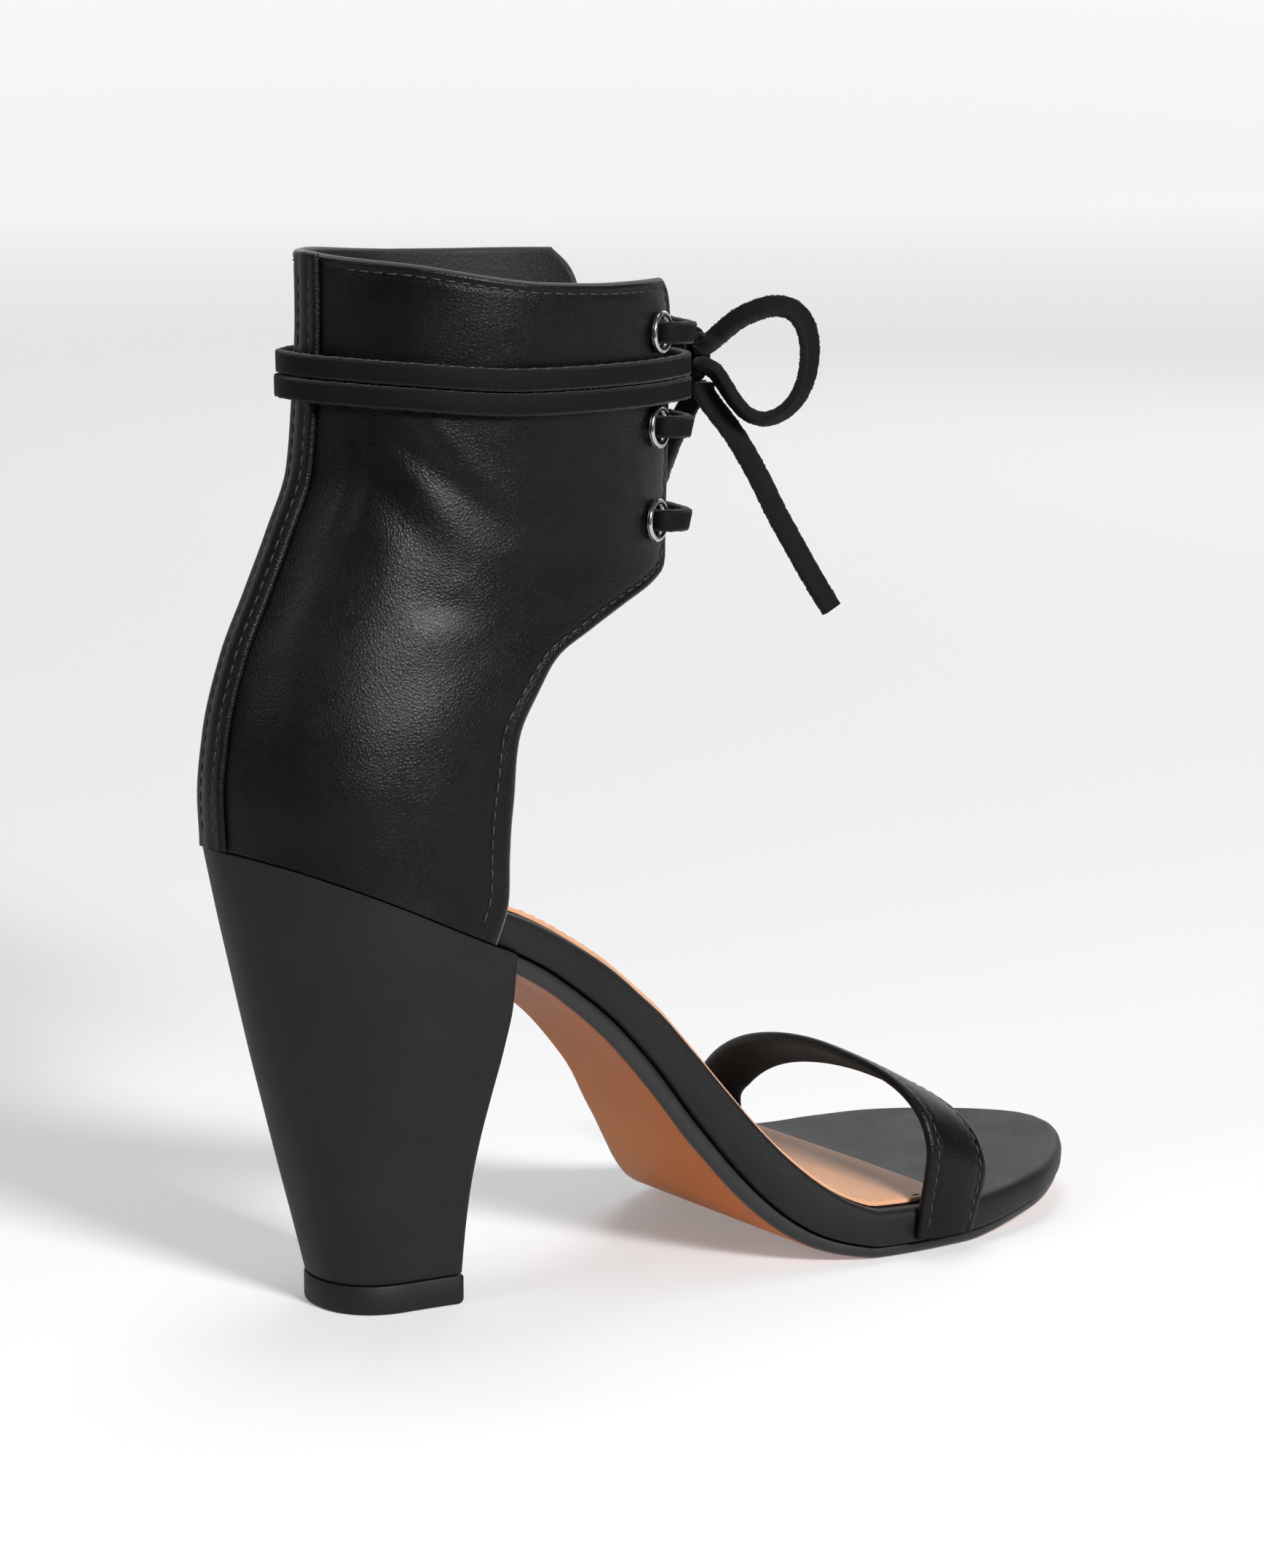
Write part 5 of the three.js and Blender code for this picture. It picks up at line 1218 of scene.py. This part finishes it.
    def eyelets(self, look: Finishes) -> None:
        """Rolled metal eyelets, spun once and copied to each place."""
        nickel = look.nickel.build()
        bore, r = EYELET_BORE, EYELET_RADIUS
        back = -WALL
        profile = [
            (bore, back - 1.0), (bore + 0.15, back - 1.15), (r - 0.7, back - 1.15), (r - 0.5, back - 0.95),
            (r - 0.6, back - 0.62), (bore + 0.35, back - 0.6), (bore + 0.35, 0.62), (r - 0.25, 0.55),
        ]
        for k in range(9):
            angle = math.radians(-50 + 230 * k / 8)
            profile.append((r - 0.72 + 0.62 * math.cos(angle), 0.98 + 0.5 * math.sin(angle)))
        profile += [(bore + 0.12, 0.75), (bore, 0.3)]
        angle = np.linspace(0, 2 * np.pi, 49)
        rings = [[(p * math.cos(a), p * math.sin(a), h) for p, h in profile + profile[:1]] for a in angle]
        for hand, step, place, n in self.spots():
            turn = np.array(Vector((0, 0, 1)).rotation_difference(Vector(n)).to_matrix())
            rows = np.array(rings) @ turn.T + place
            name = f"{'outer' if hand < 0 else 'inner'}_{step + 1}"
            piece = shaped_grid(f"eyelet_ring_{name}", rows, None, 50)
            dress(piece, [nickel], "nickel", f"eyelet_{name}")


class ToeStrap:
    """Folded leather strap over the toes."""

    def corner(self, t: float, share: float) -> np.ndarray:
        """Point of the strap's outer face."""
        rows = len(STRAP) - 1
        spot = min(rows - 1e-9, max(0.0, t * rows))
        i = int(spot)
        f = spot - i
        pick = [STRAP[min(rows, max(0, i + k))] for k in (-1, 0, 1, 2)]
        a, b, c, d = pick
        bend, twist = 2 * a - 5 * b + 4 * c - d, 3 * b - a - 3 * c + d
        row = 0.5 * (2 * b + (c - a) * f + bend * f * f + twist * f ** 3)
        foot = min(1.0, max(0.0, row[0]))
        ends = []
        for k in (1, 4):
            x = row[k] * SOLE_LENGTH
            hand = 1 if t > 0.5 else -1
            held = hand * (float(bed_edge("outer" if hand < 0 else "inner", x)) + GAP + STRAP_THICK + 0.25)
            free = row[k + 1] * BALL_WIDTH
            ends.append(np.array([x, free + (held - free) * foot, row[k + 2] * STRAP_HEIGHT]))
        return ends[0] + (ends[1] - ends[0]) * share

    def normal(self, t: float, share: float) -> np.ndarray:
        """Outward normal of the strap."""
        a = self.corner(min(1, t + 0.01), share) - self.corner(max(0, t - 0.01), share)
        b = self.corner(t, 1) - self.corner(t, 0)
        return unit(np.cross(b, a))

    def build(self, look: Finishes) -> None:
        """Make the strap and its stitch rows."""
        section = [
            (0.0, 1.1), (0.0, 0.85), (0.006, 0.55), (0.022, 0.28), (0.05, 0.08), (0.08, 0.0), (0.11, 0.02),
            (0.135, 0.2), (0.16, 0.02), (0.25, -0.16), (0.4, -0.26), (0.5, -0.28), (0.6, -0.26),
            (0.75, -0.16), (0.84, 0.02), (0.865, 0.2), (0.89, 0.02), (0.92, 0.0), (0.95, 0.08),
            (0.978, 0.28), (0.994, 0.55),
            (1.0, 0.85), (1.0, 1.1), (1.0, 1.4), (0.99, 1.8), (0.96, 2.1), (0.9, 2.2), (0.75, 2.12),
            (0.5, 2.05), (0.25, 2.12), (0.1, 2.2), (0.04, 2.1), (0.01, 1.8), (0.0, 1.4), (0.0, 1.1),
        ]
        ts = np.linspace(0, 1, 110)
        rows = []
        for t in ts:
            n_mid = self.normal(t, 0.5)
            row = []
            for share, depth in section:
                wave = 0.12 * math.sin(t * 37 + share * 4) * (0.2 < share < 0.8 and depth < 0)
                lift = unit(self.normal(t, share) + n_mid * 0.001)
                row.append(self.corner(t, share) + lift * (wave - depth))
            rows.append(row)
        rows = np.array(rows)
        middles = rows.mean(axis=1, keepdims=True).repeat(len(section), axis=1)
        rows = np.concatenate([middles[:1], rows, middles[-1:]])
        slots = np.zeros((rows.shape[0] - 1, rows.shape[1] - 1))
        slots[:, 24:32] = 1
        piece = shaped_grid("toe_strap_leather", rows, slots, 55)
        dress(piece, [look.quarter.build(), look.lining.build()], "black_leather", "toe_strap")
        lines = []
        at = np.linspace(0.02, 0.98, 160)
        for share in (0.135, 0.865):
            normals = np.array([self.normal(t, share) for t in at])
            lines.append((np.array([self.corner(t, share) for t in at]) - 0.12 * normals, normals))
        sewn = stitches("toe_strap_stitches", lines, 2.9, 2.2, 0.45)
        dress(sewn, [look.thread.build()], "black_leather")


class Lace:
    """Flat lace: crossings through the eyelets, two turns round the ankle, knot and bow."""

    def __init__(self, ankle: Ankle, look: Finishes) -> None:
        """Keep the eyelets' places and make the lace's two materials."""
        self.spots = ankle.spots()
        self.materials = [look.lace.build(), look.nap.build()]

    def sweep(self, name: str, path: np.ndarray, across: np.ndarray) -> bpy.types.Object:
        """One length of lace along a path."""
        rows = frayed(thong_rows(path, across))
        return coat(shaped_grid(name, rows, thong_slots(rows), 55), self.materials)

    def crossings(self) -> None:
        """Bars over the open front and the strands that join them inside."""
        parts = []
        reach = BAR_REACH
        for step in range(3):
            _, _, place, n = next(s for s in self.spots if s[0] < 0 and s[1] == step)
            inside = place - n * (WALL + 3.2)
            outside = place + n * 2.6
            bend = np.array([reach + 2.0, place[1] - 0.2, place[2] - 0.4])
            front = np.array([reach + 4.8, place[1] * 0.55, place[2] - 0.4])
            flip = np.array([1, -1, 1])
            stops = [inside, place, outside, bend, front, np.array([reach + 5.8, 0, place[2] - 0.4])]
            stops += [p * flip for p in (front, bend, outside, place, inside)]
            path = smooth_line(stops, 110)
            tilt = 0.28 * np.sin(np.linspace(0, 5 + step, 110))[:, None] * np.array([[1.0, 0, 0]])
            parts.append(self.sweep(f"bar_{step}", path, np.array([[0, 0, 1.0]]) + tilt))
        for hand in (-1, 1):
            n = next(s for s in self.spots if s[0] == hand and s[1] == 1)[3]
            stops = []
            for i in range(7):
                z = EYELET_TOP - i / 6 * 2 * EYELET_PITCH + (1.6 if i == 0 else -1.6 if i == 6 else 0)
                x, y = oval(z, float(turn_at(z, EYELET_REACH)) * hand)
                stops.append(np.array([float(x), float(y), z]) - n * (WALL + 2.6))
            level = np.array([[-n[1], n[0], 0.0]])
            parts.append(self.sweep("strand", smooth_line(stops, 50), np.repeat(level, 50, axis=0)))
        piece = join("lace_crossing_leather", parts)
        dress(piece, self.materials, "lace_leather", "lace_crossings")

    def turn(self, column: Column, name: str, node: str) -> None:
        """One turn of lace round the ankle, meeting behind the knot."""
        stops = []
        for way in np.linspace(0, 1, 31):
            z = SEAT_HEIGHT + UPPER_HEIGHT * float(column(way))
            turn = (2 * way - 1) * float(turn_at(z, TURN_REACH))
            x, y = (float(v) for v in oval(z, turn))
            n = square_to_oval(z, turn)
            if abs(turn) < ROUND_STEP:
                n = np.array([-1.0, 0, 0])
            if n[0] * (x - CUFF_LENGTH * 0.72) + n[1] * y < 0:
                n = -n
            over = np.clip((STRIP_WIDTH / 2 + 8 - abs(y)) / 6, 0, 1)
            over = over * over * (3 - 2 * over) * (x < 60)
            stand = GAP + 0.35 + LACE_THICK / 2 + over * (STRIP_THICK + GAP)
            stops.append(np.array([x, y, z]) + n * stand)
        run, side = FRONT_RUN, KNOT_SIDE
        z = stops[0][2]
        before = [(run, side - 0.4, z), (run - 1.2, side - 5.5, z), (run - 4.6, -0.285 * CUFF_WIDTH, z)]
        after = [(run - 2.3, 0.29 * CUFF_WIDTH, z), (run + 0.3, 8.5, z)]
        after += [(run + 0.2, side + 5.5, z), (run, side + 0.4, z)]
        path = smooth_line([np.array(p) for p in before] + stops + [np.array(p) for p in after], 300)
        across = np.repeat(np.array([[0, 0, 1.0]]), 300, axis=0)
        piece = self.sweep(name, path, across)
        dress(piece, self.materials, "lace_leather", node)

    def knot(self) -> None:
        """Pulled knot: a squashed lump with a band of lace cinched over it."""
        parts = []
        lat = np.linspace(-np.pi / 2, np.pi / 2, 25)
        lon = np.linspace(0, 2 * np.pi, 41)
        la, lo = np.meshgrid(lat, lon, indexing="ij")
        half = np.array(KNOT_HALF) * (0.86, 1.0, 0.9)
        lump = squared_off(np.stack([np.cos(la) * np.cos(lo), np.sin(la), np.cos(la) * np.sin(lo)], axis=-1))
        waist = 1 - 0.16 * np.exp(-((lump[..., 1:2] / 0.5) ** 2)) * np.array([1, 0, 1])
        parts.append(coat(shaped_grid("lump", KNOT_AT + lump * half * waist, None, 60), self.materials))
        angle = np.linspace(0, 2 * np.pi, 73)
        ring = np.stack([
            squared_off(np.cos(angle)) * (KNOT_HALF[0] - 0.75), np.sin(angle) * 0.35,
            squared_off(np.sin(angle)) * (KNOT_HALF[2] - 0.75),
        ], axis=1) + KNOT_AT
        across = np.repeat(np.array([[0.12, 1.0, 0.08]]), 73, axis=0)
        rows = thong_rows(ring, across, LACE_WIDTH * 0.92, 1.5)[2:-2]
        rows[-1] = rows[0]
        parts.append(coat(shaped_grid("band", rows, None, 60), self.materials))
        piece = join("lace_knot_leather", parts)
        dress(piece, self.materials, "lace_leather", "lace_knot")

    def free(self, name: str, hand: int, way: np.ndarray, loop: bool, reach: float) -> None:
        """A loop or an end of the bow, swept as one length of lace.

        Args:
            name: outer or inner.
            hand: -1 for the outer side, 1 for the inner side.
            way: direction of its upright plane.
            loop: True for a loop, False for an end.
            reach: how far in front of the knot's middle an end starts.
        """
        if loop:
            start = KNOT_AT + np.array([-1.0, hand * (KNOT_HALF[1] + GAP), 0.52 * LACE_WIDTH])
            leaving = np.array([0, hand, 0.0])
        else:
            start = KNOT_AT + np.array([reach, hand * 2.2, -KNOT_HALF[2] - GAP])
            leaving = np.array([0, 0, -1.0])
        rows = LOOP if loop else TAIL
        points = [start, start + leaving * 1.6]
        for out, up in rows:
            x, y = start[:2] + way[:2] * out * LACE_WIDTH
            points.append(np.array([x, y, KNOT_AT[2] + up * LACE_WIDTH]))
        if loop:
            last = np.array([start[0], start[1], KNOT_AT[2] - 0.48 * LACE_WIDTH])
            points += [last + leaving * 1.6, last]
        count = 150 if loop else 90
        path = smooth_line(points, count)
        tangent = unit(np.gradient(path, axis=0))
        plane = np.array([way[1], -way[0], 0.0])
        inward = np.cross(tangent, plane)
        t = np.linspace(0, 1, count)[:, None]
        tilt = math.radians(38) + 0.25 * np.sin(t * 6.3) if loop else math.radians(62) + 0.2 * np.sin(t * 4)
        across = plane * np.cos(tilt) + inward * np.sin(tilt)
        kind = "loop" if loop else "end"
        piece = self.sweep(f"bow_{kind}_{name}", path, across)
        dress(piece, self.materials, "lace_leather", f"lace_{kind}_{name}")
        log.info("bow_%s_%s: %.1f mm of lace", kind, name, length_of(path))

    def build(self) -> None:
        """Make every length of lace."""
        self.crossings()
        self.turn(TURN_UPPER, "lace_turn_upper_leather", "lace_turn_upper")
        self.turn(TURN_LOWER, "lace_turn_lower_leather", "lace_turn_lower")
        self.knot()
        sides = (("outer", -1, NEAR_WAY, NEAR_WAY, 1.7), ("inner", 1, FAR_WAY, FAR_END_WAY, 2.7))
        for name, hand, way, end_way, reach in sides:
            self.free(name, hand, way, True, reach)
            self.free(name, hand, end_way, False, reach)


@dataclass
class Studio:
    """Pale sweep, soft light and the camera."""

    eye: tuple[float, float, float] = (-0.5115, -0.8610, 0.2921)
    forward: tuple[float, float, float] = (0.5231, 0.8433, -0.1236)
    roll: float = -0.531
    lens: float = 81.9 * 1.42
    aside: float = 168 / 4900
    down: float = 291 / 4900
    front_edge: float = 0.42

    def camera(self) -> None:
        """Camera at the photograph's place and angle, turned to the one shoe."""
        f = Vector(self.forward).normalized()
        right = f.cross(Vector((0, 0, 1))).normalized()
        up = right.cross(f)
        angle = math.radians(self.roll)
        c, s = math.cos(angle), math.sin(angle)
        right, up = right * c + up * s, up * c - right * s
        aim = (f + right * self.aside - up * self.down).normalized()
        right = (right - aim * right.dot(aim)).normalized()
        up = right.cross(aim)
        data = bpy.data.cameras.new("camera")
        data.lens = self.lens
        data.sensor_width = 36
        data.clip_start = 0.05
        data.clip_end = 50
        camera = bpy.data.objects.new("camera", data)
        turn = Matrix((right, up, -aim)).transposed().to_4x4()
        camera.matrix_world = Matrix.Translation(Vector(self.eye)) @ turn
        bpy.context.scene.collection.objects.link(camera)
        bpy.context.scene.camera = camera

    def floor(self) -> None:
        """Seamless sweep that rises far behind the shoe."""
        only()
        bpy.ops.mesh.primitive_grid_add(x_subdivisions=8, y_subdivisions=60, size=2)
        sweep = bpy.context.active_object
        sweep.name = "studio_sweep"
        ahead = Vector((self.forward[0], self.forward[1], 0)).normalized()
        aside = Vector((ahead.y, -ahead.x, 0))
        for vertex in sweep.data.vertices:
            along, across = (vertex.co.y + 1) * 3.5 - self.front_edge, vertex.co.x * 6.0
            bend = max(0.0, along - 3.2)
            rise = bend * bend / 1.8 if bend < 1.8 else 1.8 + (bend - 1.8) * 2
            vertex.co = ahead * (along - bend * 0.35) + aside * across + Vector((0, 0, rise))
        only(sweep)
        bpy.ops.object.shade_smooth()
        material = bpy.data.materials.new("pale studio paper")
        material.use_nodes = True
        shader = material.node_tree.nodes["Principled BSDF"]
        shader.inputs["Base Color"].default_value = hex_colour("#C4C4C5")
        shader.inputs["Roughness"].default_value = 0.9
        shader.inputs["Emission Color"].default_value = hex_colour("#EDEDEE")
        where = add_node(material.node_tree, "ShaderNodeTexCoord", {}).outputs["Object"]
        away = add_node(material.node_tree, "ShaderNodeVectorMath", {"operation": "LENGTH"}, {0: where})
        glow = add_node(
            material.node_tree, "ShaderNodeMapRange",
            {"From Min": 0.3, "From Max": 3.6, "To Min": 0.28, "To Max": 0.85},
            {"Value": away.outputs["Value"]},
        )
        material.node_tree.links.new(glow.outputs["Result"], shader.inputs["Emission Strength"])
        sweep.data.materials.append(material)

    def lamp(self, name: str, place: tuple[float, float, float], size: float, power: float) -> None:
        """Soft square light aimed at the shoe's middle."""
        data = bpy.data.lights.new(name, "AREA")
        data.shape = "SQUARE"
        data.size = size
        data.energy = power
        lamp = bpy.data.objects.new(name, data)
        lamp.location = place
        aim = Vector((0.06, 0, 0.11)) - Vector(place)
        lamp.rotation_euler = aim.to_track_quat("-Z", "Y").to_euler()
        bpy.context.scene.collection.objects.link(lamp)

    def light(self) -> None:
        """Key above and beside the camera, broad top light and a rim from behind."""
        self.lamp("key", (-1.50, -0.10, 1.15), 0.6, 7)
        self.lamp("top", (0.25, 0.35, 2.0), 0.8, 12)
        self.lamp("rim", (1.3, 1.0, 0.8), 0.8, 3)
        self.lamp("side", (0.02, -1.34, 0.82), 0.32, 36)
        world = bpy.data.worlds.new("soft room")
        world.use_nodes = True
        back = world.node_tree.nodes["Background"]
        back.inputs["Color"].default_value = hex_colour("#F4F4F6")
        back.inputs["Strength"].default_value = 0.12
        bpy.context.scene.world = world
        bpy.context.scene.view_settings.view_transform = "Standard"

    def build(self) -> None:
        """Set the stage."""
        self.camera()
        self.floor()
        self.light()


def main() -> None:
    """Build every sub-assembly in order."""
    logging.basicConfig(level=logging.INFO, format="%(name)s: %(message)s")
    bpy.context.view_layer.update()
    look = Finishes()
    Studio().build()
    ankle = Ankle()
    Lace(ankle, look).build()
    sole = Sole()
    sole.outsole(look)
    sole.footbed(look)
    sole.insole(look)
    heel = Heel()
    heel.block(look)
    heel.tip(look)
    ankle.cuff(look)
    ankle.strip(look)
    ankle.seams(look)
    ankle.eyelets(look)
    ToeStrap().build(look)


if __name__ == "__main__":
    main()
